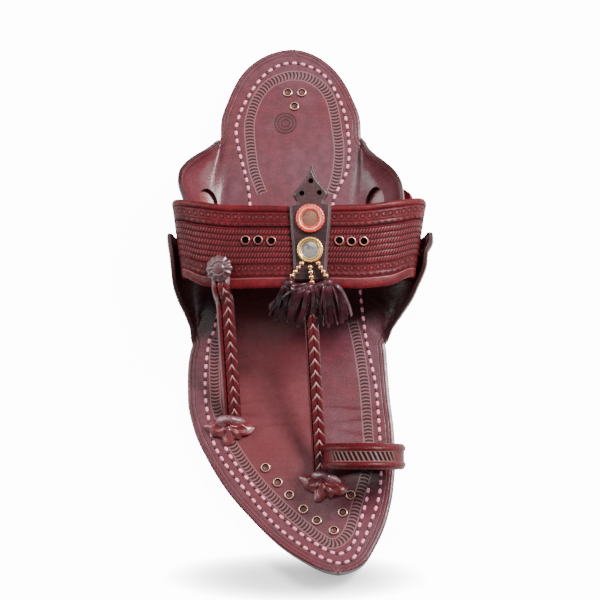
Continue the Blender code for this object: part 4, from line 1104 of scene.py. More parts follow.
@dataclass
class Footbed:
    """Top sheet of the sole, whose sides run up as ears with a slit and a pointed window each."""

    last: Last
    rows: int = 300
    half_columns: int = 46
    window_centre: float = 0.312
    window_length: float = 15 * MM
    window_width: float = 11 * MM
    window_turn: float = math.radians(29)
    slit_top: float = 50 * MM
    chart_reach: float = 12 * MM
    thinning: float = 0.45

    def parameters(self) -> tuple[Array, Array]:
        """Shares of the length, and shares from the middle line to each rim."""
        along = np.interp(np.linspace(0.0, 1.0, self.rows), np.linspace(0.0, 1.0, 200), shares(200, 0.55))
        return along * 0.9990 + 0.0005, np.linspace(0.0, 1.0, self.half_columns)

    def grid(self) -> tuple[Array, Array, Array]:
        """Middle surface of the sheet.

        Returns:
            Points, the length past the sole's edge at each, and the distance from the rim over it.
        """
        along, across = self.parameters()
        points, beyonds, rims = [], [], []
        for side in Side:
            middle = (self.last.edge(along, Side.MEDIAL) + self.last.edge(along, Side.LATERAL)) / 2
            inner = np.abs(self.last.edge(along, side) - middle)
            length = self.last.ear_length(along, side)
            beyond = (length + inner)[:, None] * across[None] - inner[:, None]
            place = self.last.bed_point(along[:, None] + 0.0 * beyond, side, beyond)
            keep = slice(None, 0, -1) if side is Side.LATERAL else slice(None)
            points.append(place[:, keep])
            beyonds.append(beyond[:, keep])
            rims.append((length[:, None] - beyond)[:, keep])
        return tuple(np.concatenate(part, axis=1) for part in (points, beyonds, rims))

    def creases(self, points: Array) -> Array:
        """Depth of the folds: each a bell across its width and along its run, leaning in the plan."""
        depth = np.zeros(points.shape[:2])
        for fold in FOLDS:
            centre = self.last.bed_point(np.array([fold.along]), fold.side, np.array([fold.beyond]))
            away = points - centre[0]
            side = np.linalg.norm(away[..., [0, 2]], axis=-1) * np.sign(away[..., 0] * fold.side.value)
            ahead = -away[..., 1]
            along = side * math.sin(fold.lean) + ahead * math.cos(fold.lean)
            across = side * math.cos(fold.lean) - ahead * math.sin(fold.lean)
            depth += fold.depth * np.exp(-((across / fold.width) ** 2) - (along / fold.run) ** 2)
        return depth

    def cutters(self) -> list[Surface]:
        """Blocks for the slits and the windows, as in the solid."""
        last = self.last
        blocks = []
        for side in Side:
            foot = last.slit_foot()
            blocks.append(slit_block(last, side, foot, foot + self.slit_top, 0.0))
            along = np.array([self.window_centre])
            share = self.window_turn / (math.pi / 2)
            centre = last.bed_point(along, side, last.ear_length(along, side) * share)[0]
            reach, rise = float(last.flare(along, side)[0]), float(last.rise(along)[0])
            out, up = side.value * reach * math.cos(self.window_turn), rise * math.sin(self.window_turn)
            turn = np.linspace(-0.5, 0.5, 25) * math.pi
            arch = np.stack([np.sin(turn), np.cos(turn) ** 1.2], axis=-1)
            outline = np.concatenate([arch, [(1.0, -1.0), (-1.0, -1.0)]])
            outline = outline * np.array([self.window_width, self.window_length]) / 2
            blocks.append(block(outline, centre, unit(np.array([out, 0.0, up])), HEELWARD, 3 * MM))
        return blocks

    def charts(self, points: Array, rim: Array, beyond: Array) -> dict[str, Array]:
        """Values for the leather: off and along the tooled ladder, and distance from the rim."""
        flat = points[..., :2].reshape(-1, 2)
        reach = self.chart_reach
        best_off = np.full(len(flat), reach)
        best_along = np.zeros(len(flat))
        for rows in (HEEL_LADDER, FRONT_LADDER):
            line = curve_through(np.stack([self.last.spot(row) for row in rows]), 1.0 * MM)
            off, along = measured_from(flat, line, reach)
            end = lengths(line)[-1]
            off = np.where((along < 1e-6) | (along > end - 1e-6), reach, off)
            nearer = np.abs(off) < np.abs(best_off)
            best_off = np.where(nearer, off, best_off)
            best_along = np.where(nearer, along, best_along)
        ladder = np.stack([np.abs(best_off), best_along], axis=-1).reshape(*points.shape[:2], 2)
        outline = np.concatenate([points[:, 0], points[::-1, -1]])
        gap = np.full(len(flat), 1.0)
        solid = points.reshape(-1, 3)
        for first in range(0, len(flat), CHUNK):
            away = solid[first:first + CHUNK, None] - outline[None, ::2]
            gap[first:first + CHUNK] = np.sqrt((away**2).sum(-1).min(axis=1))
        gap = np.minimum(gap.reshape(rim.shape), rim)
        return {"ladder": ladder / MM, "rim": np.stack([gap, beyond], axis=-1) / MM}

    def build(self, leather: Material) -> None:
        """Make the sheet with its folds, thin its rim, and cut slits and windows."""
        points, beyond, rim = self.grid()
        out = normals(points)
        out = out * np.where(out[..., 2:3] < 0, -1.0, 1.0)
        charts = self.charts(points, rim, beyond)
        gap = charts["rim"][..., 0] * MM
        soft = 1.0 - self.thinning * (1.0 - smooth(gap / (1.0 * MM)))
        half = (self.last.bed_thickness / 2 * soft)[..., None] * out
        sunk = self.creases(points)[..., None] * out
        sheet = slab(points + half - sunk, points - half - 0.4 * sunk, charts)
        made = sheet.object("footbed_leather", leather, 60.0)
        cut_out(made, self.cutters())
        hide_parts("footbed")


@dataclass
class WindowLinings:
    """Red lining behind each ear's window: a patch that follows the ear's outer face."""

    bed: Footbed
    half_length: float = 8.0 * MM
    half_width: float = 7.5 * MM
    thickness: float = 1.0 * MM

    def build(self, leather: Material) -> None:
        """Make both linings as one piece, just outside the ears."""
        last, parts = self.bed.last, []
        ahead = np.linspace(-1.0, 1.0, 24)[:, None] * self.half_length / last.length
        for side in Side:
            along = self.bed.window_centre + ahead
            length = last.ear_length(along[:, 0], side)[:, None]
            share = self.bed.window_turn / (math.pi / 2)
            beyond = length * share + np.linspace(-1.0, 1.0, 20)[None] * self.half_width
            beyond = np.clip(beyond, 0.5 * MM, length - 1.0 * MM)
            points = last.bed_point(along + 0.0 * beyond, side, beyond)
            out = normals(points)
            out = out * np.where(out[..., 2:3] > 0, -1.0, 1.0)
            near = last.bed_thickness / 2 + last.gap
            parts.append(slab(points + out * near, points + out * (near + self.thickness)))
        made = joined(parts).object("window_linings", leather, 60.0)


@dataclass(frozen=True)
class BedLook:
    """Finish of the footbed: dyed leather, tooled ladders, scribed rim lines and stamped rings.

    It also paints shade where the band covers it and before the toe ring, and is trodden in the middle.
    """

    leather: LeatherLook
    last: Last
    mark: Colour = (0.012, 0.002, 0.003)
    # Pale tone: painted highlight between the ladder's struck marks; it also draws the ladder's two border
    # lines.
    line: Colour = (0.34, 0.17, 0.17)
    # Painted sheen: paler plum tone laid up the ears' faces.
    ear: Colour = (0.150, 0.030, 0.038)
    # Painted shade: near-black tone laid under the band's front edge and before the toe ring.
    shade: Colour = (0.018, 0.002, 0.003)
    band: tuple[float, float] = (0.385, 0.535)
    band_fade: float = 34 * MM
    front_fade: tuple[float, float] = (9 * MM, 6 * MM)
    toe_shade: Oval = Oval(34 * MM, -186 * MM, 17 * MM, 9 * MM)
    tread: Oval = Oval(-8 * MM, -150 * MM, 40 * MM, 72 * MM)
    edge: Colour = (0.040, 0.008, 0.010)
    worn: Colour = (0.135, 0.010, 0.014)
    ladder_half: float = 2.2
    scribed: tuple[float, float] = (2.1, 3.8)
    stamp_rings: tuple[float, ...] = (5.6, 3.9, 2.0)
    ear_sheen_share: float = 0.55
    shade_share: float = 0.8
    worn_share: float = 0.7
    struck_share: float = 0.93
    between_highlight_share: float = 0.45
    line_share: float = 0.55
    cut_share: float = 0.5
    stamp_share: float = 0.75
    tooled_depth: float = 1.6

    def make(self, effects: SharedEffects) -> Material:
        """Build the material.

        Args:
            effects: The shared node groups.

        Returns:
            The footbed's leather.
        """
        made, n, shader, mottle, grain = self.leather.begin(effects)
        off, along = n.pair("ladder")
        inputs = {"Off": off, "Along": along, "Half": self.ladder_half}
        ladder = n.add("ShaderNodeGroup", inputs, node_tree=effects.ladder)
        rim, beyond = n.pair("rim")
        # Painted sheen on the ears, growing from the sole's edge to 9 mm beyond it.
        painted_ear_sheen = n.times(n.ramp(beyond, 0.0, 9.0), self.ear_sheen_share)
        colour = n.mix(painted_ear_sheen, mottle.outputs["Color"], self.ear)
        depth = n.add("ShaderNodeSeparateXYZ", {"Vector": n.place()}).outputs["Y"]
        rear, front = (float(self.last.place(share)) for share in self.band)
        before, past = self.front_fade
        # Painted shade: darkest under the band's front edge, fading back under the band and a little ahead of
        # it.
        covered = n.times(n.ramp(depth, rear, rear - self.band_fade),
                          n.ramp(depth, front - before, front + past))
        # Painted shade: also an oval before the toe ring.
        covered = n.most(covered, n.ramp(n.oval(self.toe_shade), 1.35, 0.45))
        colour = n.mix(n.times(covered, self.shade_share), colour, self.shade)
        clouds = n.noise(n.place(), 30.0, 4.0, 0.6)
        cloud = n.math("MULTIPLY_ADD", clouds, 0.9, n.oval(self.tread))
        tread = n.ramp(cloud, 1.45, 0.75)
        colour = n.mix(n.times(tread, self.worn_share), colour, self.worn)
        # Painted highlight between the struck marks.
        colour = n.mix(n.times(ladder.outputs["Between"], self.between_highlight_share), colour, self.line)
        colour = n.mix(n.times(ladder.outputs["Marks"], self.struck_share), colour, self.mark)
        colour = n.mix(n.times(ladder.outputs["Lines"], self.line_share), colour, self.line)
        cuts = None
        for distance in self.scribed:
            cut = n.ramp(n.apart(rim, distance), 0.42, 0.1)
            cuts = cut if cuts is None else n.most(cuts, cut)
        colour = n.mix(n.times(cuts, self.cut_share), colour, self.mark)
        colour = n.mix(n.ramp(rim, 0.75, 0.2), colour, self.edge)
        flat = self.last.spot(STAMP)
        middle = (float(flat[0]), float(flat[1]), float(self.last.bed_top(STAMP.along)))
        away = n.add("ShaderNodeVectorMath", {0: n.place(), 1: middle}, operation="DISTANCE")
        radius = n.math("DIVIDE", away.outputs["Value"], MM)
        disc = n.ramp(radius, 6.2, 5.7)
        rings = n.times(disc, 0.35)
        for distance in self.stamp_rings:
            ring = n.ramp(n.apart(radius, distance), 0.55, 0.15)
            rings = n.most(rings, ring)
        colour = n.mix(n.times(rings, self.stamp_share), colour, self.mark)
        dips = n.most(n.most(ladder.outputs["Marks"], cuts), rings)
        tooled = n.math("MULTIPLY_ADD", dips, -self.tooled_depth, grain.outputs["Height"])
        dull = n.most(dips, n.times(tread, 0.75))
        self.leather.finish(n, shader, colour, mottle.outputs["Roughness"], tooled, dull)
        return made


@dataclass
class Stitching:
    """Rows of short pink stitches with dark ones between them, lying in the footbed."""

    last: Last
    pitch: float = 4.5 * MM
    pale_length: float = 2.9 * MM
    dark_length: float = 2.0 * MM
    width: float = 1.55 * MM
    height: float = 0.6 * MM
    lift: float = 0.05 * MM
    pale_start: float = 0.30
    dark_start: float = 0.81

    def capsule(self, length: float) -> Array:
        """One stitch: an ellipse carried along a bowed line, thin at both ends."""
        share = np.linspace(-1.0, 1.0, 9)[:, None]
        turn = turns(8)[None, :]
        fat = np.sqrt(np.clip(1.0 - np.abs(share) ** 3.5, 0.02, 1.0))
        ahead = share * length / 2 + 0.0 * turn
        right = fat * self.width / 2 * np.cos(turn)
        up = fat * self.height * np.sin(turn) * 0.8 - 0.25 * self.height * share**2
        return np.stack([ahead, right, up], axis=-1)

    def row(self, spots: Sequence[Spot], start: float, length: float) -> list[Surface]:
        """Stitches along a row.

        Args:
            spots: Chosen points of the row.
            start: Share of the pitch at which the first stitch lies.
            length: Length of a stitch.

        Returns:
            One closed shape for each stitch.
        """
        line = curve_through(np.stack([self.last.spot(spot) for spot in spots]), 0.5 * MM)
        far = lengths(line)
        at = (np.arange(int(far[-1] / self.pitch)) + start) * self.pitch
        centre = np.stack([np.interp(at, far, line[:, k]) for k in range(2)], axis=-1)
        after = np.stack([np.interp(at + 0.5 * MM, far, line[:, k]) for k in range(2)], axis=-1)
        base = self.last.on_bed(centre, self.lift)
        ahead = unit(self.last.on_bed(after, self.lift) - base + np.array([1e-9, 0.0, 0.0]))
        right, up = crossways(ahead)
        shape = self.capsule(length)
        parts = []
        for place, x, y, z in zip(base, ahead, right, up):
            rings = place + shape[..., :1] * x + shape[..., 1:2] * y + shape[..., 2:] * z
            parts.append(tube(rings))
        return parts

    def build(self, pale: Material, dark: Material) -> None:
        """Make both colours of stitch as one piece each."""
        rows = (HEEL_ROW, OUTER_ROW, INNER_ROW)
        light = [part for row in rows for part in self.row(row, self.pale_start, self.pale_length)]
        deep = [part for row in rows for part in self.row(row, self.dark_start, self.dark_length)]
        for name, parts, finish in (("stitches_pale", light, pale), ("stitches_dark", deep, dark)):
            made = joined(parts).object(name, finish)


@dataclass
class Band:
    """Instep band: a broad strap with sunken and raised rows, its tongues through the ears' slits."""

    form: BandForm
    arch_stations: int = 190
    end_stations: int = 44
    across_stations: int = 112
    rope_first: float = 0.292
    rope_last: float = 0.708
    ropes: int = 6
    rope_height: float = 0.34
    rope_sunk: float = 0.26
    groove_half: float = 0.016
    strips: tuple[Strip, ...] = (Strip(0.04, 0.045), Strip(0.935, 0.06))
    strip_height: float = 0.16
    edge_drop: float = 0.55
    edge_round: float = 0.022
    notch_spare: float = 0.5 * MM
    notch_rise: float = 1.6 * MM
    grooves: tuple[Ridge, ...] = (
        Ridge(0.082, -0.45), Ridge(0.212, -0.18), Ridge(0.268, -0.75), Ridge(0.722, -0.45),
        Ridge(0.812, -0.18), Ridge(0.872, -0.40),
    )

    def relief(self, across: Array) -> Array:
        """Height of the rows in metres: rounded rope rows, grooves, raised strips and rounded edges."""
        share = (across - self.rope_first) / (self.rope_last - self.rope_first) * self.ropes
        inside = (share > 0.0) & (share < self.ropes)
        wave = self.rope_height * (1.0 - np.abs(2.0 * (share % 1.0) - 1.0) ** 3) - self.rope_sunk
        height = np.where(inside, wave, 0.0)
        for groove in self.grooves:
            height = height + groove.height * bump_at(across, groove.across, self.groove_half)
        strips = sum(self.strip_height * bump_at(across, strip.across, strip.half) for strip in self.strips)
        edge = self.edge_drop * (1.0 - smooth(np.minimum(across, 1.0 - across) / self.edge_round))
        return (height + strips - edge) * MM

    def grid(self) -> tuple[Array, Array]:
        """Middle surface from the lateral to the medial end.

        Returns:
            Points, and for each the length over the foot from the middle and the share across.
        """
        across = np.linspace(0.0, 1.0, self.across_stations)
        turns = np.linspace(0.0, 1.0, self.end_stations)[:-1]
        rows = [self.form.end(np.full_like(across, turn), across, Side.LATERAL) for turn in turns]
        for angle in np.linspace(-0.5, 0.5, self.arch_stations) * math.pi:
            reach = np.sign(angle) * abs(math.sin(angle)) ** (2.0 / self.form.squareness)
            rows.append(self.form.top(np.full_like(across, reach), across))
        rows += [self.form.end(np.full_like(across, turn), across, Side.MEDIAL) for turn in turns[::-1]]
        points = np.stack(rows)
        step = np.linalg.norm(np.diff(points, axis=0), axis=-1)
        far = np.concatenate([np.zeros((1, len(across))), np.cumsum(step, axis=0)])
        far = far - far[len(far) // 2]
        even = far.mean(axis=1, keepdims=True) + 0.0 * far
        return points, np.stack([even / MM, np.broadcast_to(across, even.shape)], axis=-1)

    def cutters(self) -> list[Surface]:
        """Blocks that part the two tongues of each end, from the ground to just over the slit's foot."""
        last, spare = self.form.last, self.notch_spare
        top = last.slit_foot() + self.notch_rise
        return [slit_block(last, side, -spare, top, spare) for side in Side]

    def build(self, leather: Material) -> bpy.types.Object:
        """Make the band with its rows, and cut its notches."""
        points, chart = self.grid()
        out = -normals(points)
        lift = self.form.thickness / 2 + self.relief(np.linspace(0.0, 1.0, self.across_stations))
        upper = points + out * lift[None, :, None]
        shape = slab(upper, points - out * self.form.thickness / 2, {"band": chart})
        made = shape.object("instep_band", leather, 60.0)
        cut_out(made, self.cutters())
        return made


@dataclass(frozen=True)
class BandLook:
    """Finish of the band: struck circles, teeth and rope strands, dark in their depths."""

    leather: LeatherLook
    band: Band
    # Near-black depths: the tooling's own dark, and painted shade in the grooves between rope rows.
    sunk: Colour = (0.022, 0.002, 0.004)
    # Pale tone: rubbed wear and painted highlight on rope ridges and raised dots, painted highlight alone on
    # a line near the front edge.
    worn: Colour = (0.34, 0.08, 0.09)
    chain_pitch: float = 3.35
    chain_radius: float = 1.12
    tooth_pitch: float = 3.2
    tooth_height: float = 0.042
    strand_slant: float = 0.9
    rope_fade: float = 0.003
    strand_pitch: float = 1.5
    width: float = 39.0
    chains: tuple[float, float] = (0.145, 0.768)
    teeth: tuple[float, float] = (0.218, 0.822)
    highlight_line: float = 0.888
    groove_share: float = 0.9
    struck_share: float = 0.62
    ridge_share: float = 0.34
    line_share: float = 0.5
    dot_share: float = 0.22
    tooled_depth: float = 1.5

    def chain(self, n: Nodes, run, across, middle: float) -> tuple:
        """Struck circles with a dot: distance to the nearest centre against the radius.

        Args:
            n: Nodes of the material.
            run: Length over the foot in millimetres.
            across: Share across the band.
            middle: Share at which the chain lies.

        Returns:
            The mask of the cut circles and the mask of their raised middles.
        """
        aside = n.math("PINGPONG", run, self.chain_pitch / 2)
        off = n.times(n.math("SUBTRACT", across, middle), self.width)
        far = n.math("SQRT", n.math("ADD", n.times(aside, aside), n.times(off, off)))
        ring = n.ramp(n.apart(far, self.chain_radius), 0.5, 0.12)
        between = n.math("SUBTRACT", self.chain_pitch / 2, aside)
        diamond = n.math("ADD", n.times(between, 1.3), n.math("ABSOLUTE", off))
        gem = n.ramp(n.apart(diamond, 1.5), 0.3, 0.08)
        zone = n.ramp(n.math("ABSOLUTE", off), 2.0, 1.75)
        cut = n.times(n.most(ring, n.times(gem, 0.6)), zone)
        return cut, n.ramp(far, 0.75, 0.25)

    def tooth_row(self, n: Nodes, run, across, start: float):
        """Small triangles: the share across against a triangle wave of the length."""
        wave = n.math("DIVIDE", n.math("PINGPONG", run, self.tooth_pitch / 2), self.tooth_pitch / 2)
        share = n.math("DIVIDE", n.math("SUBTRACT", across, start), self.tooth_height)
        inside = n.times(n.ramp(share, 0.0, 0.1), n.ramp(share, 1.05, 0.95))
        return n.times(n.ramp(n.math("SUBTRACT", share, wave), -0.12, 0.12), inside)

    def make(self, effects: SharedEffects) -> Material:
        """Build the material.

        Args:
            effects: The shared node groups.

        Returns:
            The band's leather.
        """
        made, n, shader, mottle, grain = self.leather.begin(effects)
        run, across = n.pair("band")
        ring_a, dot_a = self.chain(n, run, across, self.chains[0])
        ring_b, dot_b = self.chain(n, run, across, self.chains[1])
        struck = n.most(ring_a, ring_b)
        for start in self.teeth:
            struck = n.most(struck, self.tooth_row(n, run, across, start))
        first, last, count = self.band.rope_first, self.band.rope_last, self.band.ropes
        share = n.times(n.math("SUBTRACT", across, first), count / (last - first))
        fade = self.rope_fade
        inside = n.times(n.ramp(across, first - fade, first + fade), n.ramp(across, last + fade, last - fade))
        row = n.math("FRACT", share)
        phase = n.math("ADD", n.math("DIVIDE", run, self.strand_pitch), n.times(row, self.strand_slant))
        strand = n.math("SINE", n.times(phase, 2 * math.pi))
        body = n.ramp(n.apart(row, 0.5), 0.5, 0.22)
        between = n.times(n.math("SUBTRACT", 1.0, body), inside)
        cut = n.times(n.times(n.ramp(strand, 0.0, -0.9), inside), body)
        ridge = n.times(n.times(n.ramp(strand, 0.35, 1.0), inside), body)
        # Grooves between rope rows and along the band: painted shade besides the tooling's dark.
        grooves = between
        for groove in self.band.grooves:
            near = n.ramp(n.apart(across, groove.across), 0.014, 0.004)
            grooves = n.most(grooves, n.times(near, min(1.0, -groove.height * 1.6)))
        dips = n.most(struck, cut)
        dark = n.most(n.times(grooves, self.groove_share), n.times(dips, self.struck_share))
        # Painted highlight: a pale line near the front edge.
        light = n.ramp(n.apart(across, self.highlight_line), 0.009, 0.003)
        # Rope ridges and the circles' raised middles: partly rubbed wear, partly painted highlight.
        wear_and_highlight = n.most(n.times(ridge, self.ridge_share), n.times(light, self.line_share))
        wear_and_highlight = n.most(wear_and_highlight, n.times(n.most(dot_a, dot_b), self.dot_share))
        colour = n.mix(wear_and_highlight, mottle.outputs["Color"], self.worn)
        colour = n.mix(dark, colour, self.sunk)
        fine = n.times(grain.outputs["Height"], 0.5)
        tooled = n.math("MULTIPLY_ADD", dips, -self.tooled_depth, fine)
        self.leather.finish(n, shader, colour, mottle.outputs["Roughness"], tooled, dark)
        return made


LATERAL_BRAID = (
    Waypoint(-0.286, 0.538, 0.742), Waypoint(-0.280, 0.575, 0.635), Waypoint(-0.273, 0.632, 0.400),
    Waypoint(-0.267, 0.686, 0.169), Waypoint(-0.265, 0.717, 0.021),
)
CENTRE_BRAID = (
    Waypoint(0.133, 0.550, 0.871), Waypoint(0.139, 0.600, 0.718), Waypoint(0.151, 0.680, 0.482),
    Waypoint(0.161, 0.755, 0.235), Waypoint(0.169, 0.821, 0.021),
)


@dataclass
class Braid:
    """A plaited strap: a plain edge strip and leaves that overlap like arrowheads pointing at the band."""

    form: BandForm
    name: str
    route: tuple[Waypoint, ...]
    width: float
    plain_share: float
    under_band: bool
    x: float
    starts: tuple[float, ...]
    thickness: float = 3.2 * MM
    pitch: float = 5.8 * MM
    leaf: float = 0.75 * MM
    tuck: float = 0.5 * MM
    seat: float = 0.4 * MM

    def path(self) -> Array:
        """Middle line of the strap, from its start on the band down to the footbed."""
        last = self.form.last
        if self.under_band:
            lift = -self.form.thickness - self.thickness / 2 + self.tuck
        else:
            lift = self.thickness / 2 - self.seat
        points = []
        for across in self.starts:
            point, _ = self.form.skin(self.form.reach_at(self.x, across), across, lift)
            points.append(point)
        for row in self.route:
            high = float(last.bed_top(row.along)) + row.lift * self.form.rise_front + self.thickness / 2
            points.append(np.array([row.across * last.ball_width, float(last.place(row.along)), high]))
        return curve_through(np.stack(points), 0.32 * MM)

    def build(self, leather: Material) -> bpy.types.Object:
        """Make the strap: a section whose upper side steps up at the head of each leaf.

        Args:
            leather: Its material.

        Returns:
            The strap. Its map holds the share of a leaf's length and the place across the leaves.
        """
        line = self.path()
        right, up = crossways(unit(np.gradient(line, axis=0)))
        far = lengths(line)[:, None]
        side = np.linspace(1.0, -1.0, 33)[None, :]
        split = 1.0 - 2.0 * self.plain_share
        leaves = side < split
        place = np.where(leaves, (side - (split - 1.0) / 2) / ((split + 1.0) / 2), 0.0)
        phase = far / self.pitch - 0.62 * np.abs(place) * self.width / self.pitch
        share = phase % 1.0
        raised = self.leaf * (1.0 - share) * smooth(share / 0.08) * (1.0 - 0.35 * place**2)
        seam = 0.35 * MM * bump_at(place, 0.0, 0.10) + 0.9 * MM * bump_at(side, split, 0.09)
        strip = 0.75 * self.leaf * bump_at((side - (split + 1.0) / 2) / self.plain_share, 0.0, 1.3)
        upper = np.where(leaves, raised, strip + 0.0 * far) - seam
        drop = 0.42 * np.abs(side) ** 3 * self.thickness
        height = self.thickness / 2 - self.leaf - drop + upper + 0.0 * far
        top = swept(line, right, up, side * self.width / 2, height)
        back = np.linspace(-0.93, 0.93, 9)[None, :]
        low = -self.thickness / 2 * (1.0 - 0.35 * np.abs(back) ** 4) + 0.0 * far
        under = swept(line, right, up, back * self.width / 2, low)
        flags = np.stack([np.where(leaves, share, 2.0), np.where(leaves, place, 2.0) + 0.0 * far], axis=-1)
        values = np.concatenate([flags, np.full((len(line), 9, 2), 2.0)], axis=1)
        shape = tube(np.concatenate([top, under], axis=1), {"plait": values})
        made = shape.object(self.name, leather, 60.0)
        return made


@dataclass(frozen=True)
class PlaitLook:
    """Finish of the plaits: painted highlight on leaf tips, painted shade where a leaf dips under the next.
    """

    leather: LeatherLook
    # Painted highlight on the head of each leaf.
    tip: Colour = (0.62, 0.30, 0.29)
    # Painted shade where a leaf dips under the next and along the seams.
    sunk: Colour = (0.014, 0.001, 0.002)
    tip_highlight_share: float = 0.8
    dip_shade_share: float = 0.85

    def make(self, effects: SharedEffects) -> Material:
        """Build the material.

        Args:
            effects: The shared node groups.

        Returns:
            The straps' leather.
        """
        made, n, shader, mottle, grain = self.leather.begin(effects)
        share, place = n.pair("plait")
        middle = n.ramp(n.math("ABSOLUTE", place), 0.62, 0.12)
        # Painted highlight: the head of each leaf, towards the middle of the plait.
        head = n.times(n.ramp(share, 0.30, 0.10), n.ramp(share, 0.0, 0.06))
        tip = n.times(head, middle)
        # Painted shade: the tail of each leaf where it dips under the next, and the edges of the leaves.
        dips = n.times(n.ramp(share, 0.62, 0.98), n.ramp(share, 1.5, 1.2))
        seam = n.ramp(n.apart(n.math("ABSOLUTE", place), 0.97), 0.12, 0.0)
        colour = n.mix(n.times(n.most(dips, seam), self.dip_shade_share), mottle.outputs["Color"], self.sunk)
        colour = n.mix(n.times(tip, self.tip_highlight_share), colour, self.tip)
        self.leather.finish(n, shader, colour, mottle.outputs["Roughness"], grain.outputs["Height"])
        return made


@dataclass
class ToeRing:
    """Padded loop for the big toe, with a sunken channel of slanting marks between two rolled edges."""

    last: Last
    width: float = 40.8 * MM
    height: float = 37.6 * MM
    strap: float = 13 * MM
    wall: float = 5.2 * MM
    groove: float = 0.75 * MM
    x: float = 39.5 * MM
    along: float = 0.787
    lean: float = 0.24

    def section(self) -> Array:
        """Closed section as rows of width share and thickness share, from edge to edge and back inside."""
        sunk = 1.0 - 2.0 * self.groove / self.wall
        corners = (
            (-1.0, 0.0), (-0.93, 0.6), (-0.70, 0.95), (-0.50, 0.93), (-0.42, sunk + 0.06), (-0.36, sunk),
            (0.0, sunk), (0.36, sunk), (0.42, sunk + 0.06), (0.50, 0.93), (0.70, 0.95), (0.93, 0.6),
            (1.0, 0.0), (0.8, -0.8), (0.4, -0.97), (0.0, -1.0), (-0.4, -0.97), (-0.8, -0.8),
        )
        return curve_through(np.array(corners), 0.07, closed=True)[:-1]

    def build(self, leather: Material) -> None:
        """Make the ring: the section carried round an ellipse that leans towards the toe."""
        section = self.section()
        turn = turns(180)[:, None]
        low = float(self.last.bed_top(self.along)) + self.last.gap
        inward = self.wall / 2 * (1.0 - section[None, :, 1])
        x = self.x + (self.width / 2 - inward) * np.sin(turn)
        z = low + self.height / 2 - (self.height / 2 - inward) * np.cos(turn)
        y = self.last.place(self.along) + section[None, :, 0] * self.strap / 2 - (z - low) * self.lean
        rings = np.stack([x, y, z], axis=-1)
        outside = np.where(section[:, 1] > 0.0, section[:, 0], 3.0)[None, :] + 0.0 * turn
        around = turn * (self.width + self.height) / 4 / MM + 0.0 * outside
        shape = tube(rings, {"ring": np.stack([outside, around], axis=-1)}, closed=True)
        made = shape.object("toe_loop", leather, 60.0)
        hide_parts("toe_ring")


@dataclass(frozen=True)
class RingLook:
    """Finish of the toe ring: red edges, a brown channel with slanting dark marks, painted shade inside."""

    leather: LeatherLook
    mark: Colour = (0.006, 0.001, 0.002)
    channel: Colour = (0.17, 0.066, 0.060)
    # Painted shade on the loop's inner face.
    inside: Colour = (0.004, 0.001, 0.001)
    top: float = 61.6
    ends: tuple[float, float] = (20.0, 14.0)
    pitch: float = 2.4
    slant: float = -1.35

    def make(self, effects: SharedEffects) -> Material:
        """Build the material.

        Args:
            effects: The shared node groups.

        Returns:
            The ring's leather.
        """
        made, n, shader, mottle, grain = self.leather.begin(effects)
        across, around = n.pair("ring")
        floor = n.ramp(n.math("ABSOLUTE", across), 0.45, 0.38)
        floor = n.times(floor, n.ramp(n.apart(around, self.top), *self.ends))
        phase = n.math("ADD", n.math("DIVIDE", around, self.pitch), n.times(across, self.slant))
        slash = n.ramp(n.math("SINE", n.times(phase, 2 * math.pi)), -0.65, -0.05)
        colour = n.mix(floor, mottle.outputs["Color"], self.channel)
        marks = n.times(n.times(slash, floor), n.ramp(n.math("ABSOLUTE", across), 0.37, 0.32))
        # Painted shade: the inner face of the loop, apart from the section's outer side.
        within = n.ramp(across, 1.5, 2.5)
        colour = n.mix(marks, colour, self.mark)
        colour = n.mix(within, colour, self.inside)
        height = n.math("MULTIPLY_ADD", marks, -1.4, grain.outputs["Height"])
        dull = n.most(marks, within)
        self.leather.finish(n, shader, colour, mottle.outputs["Roughness"], height, dull)
        return made


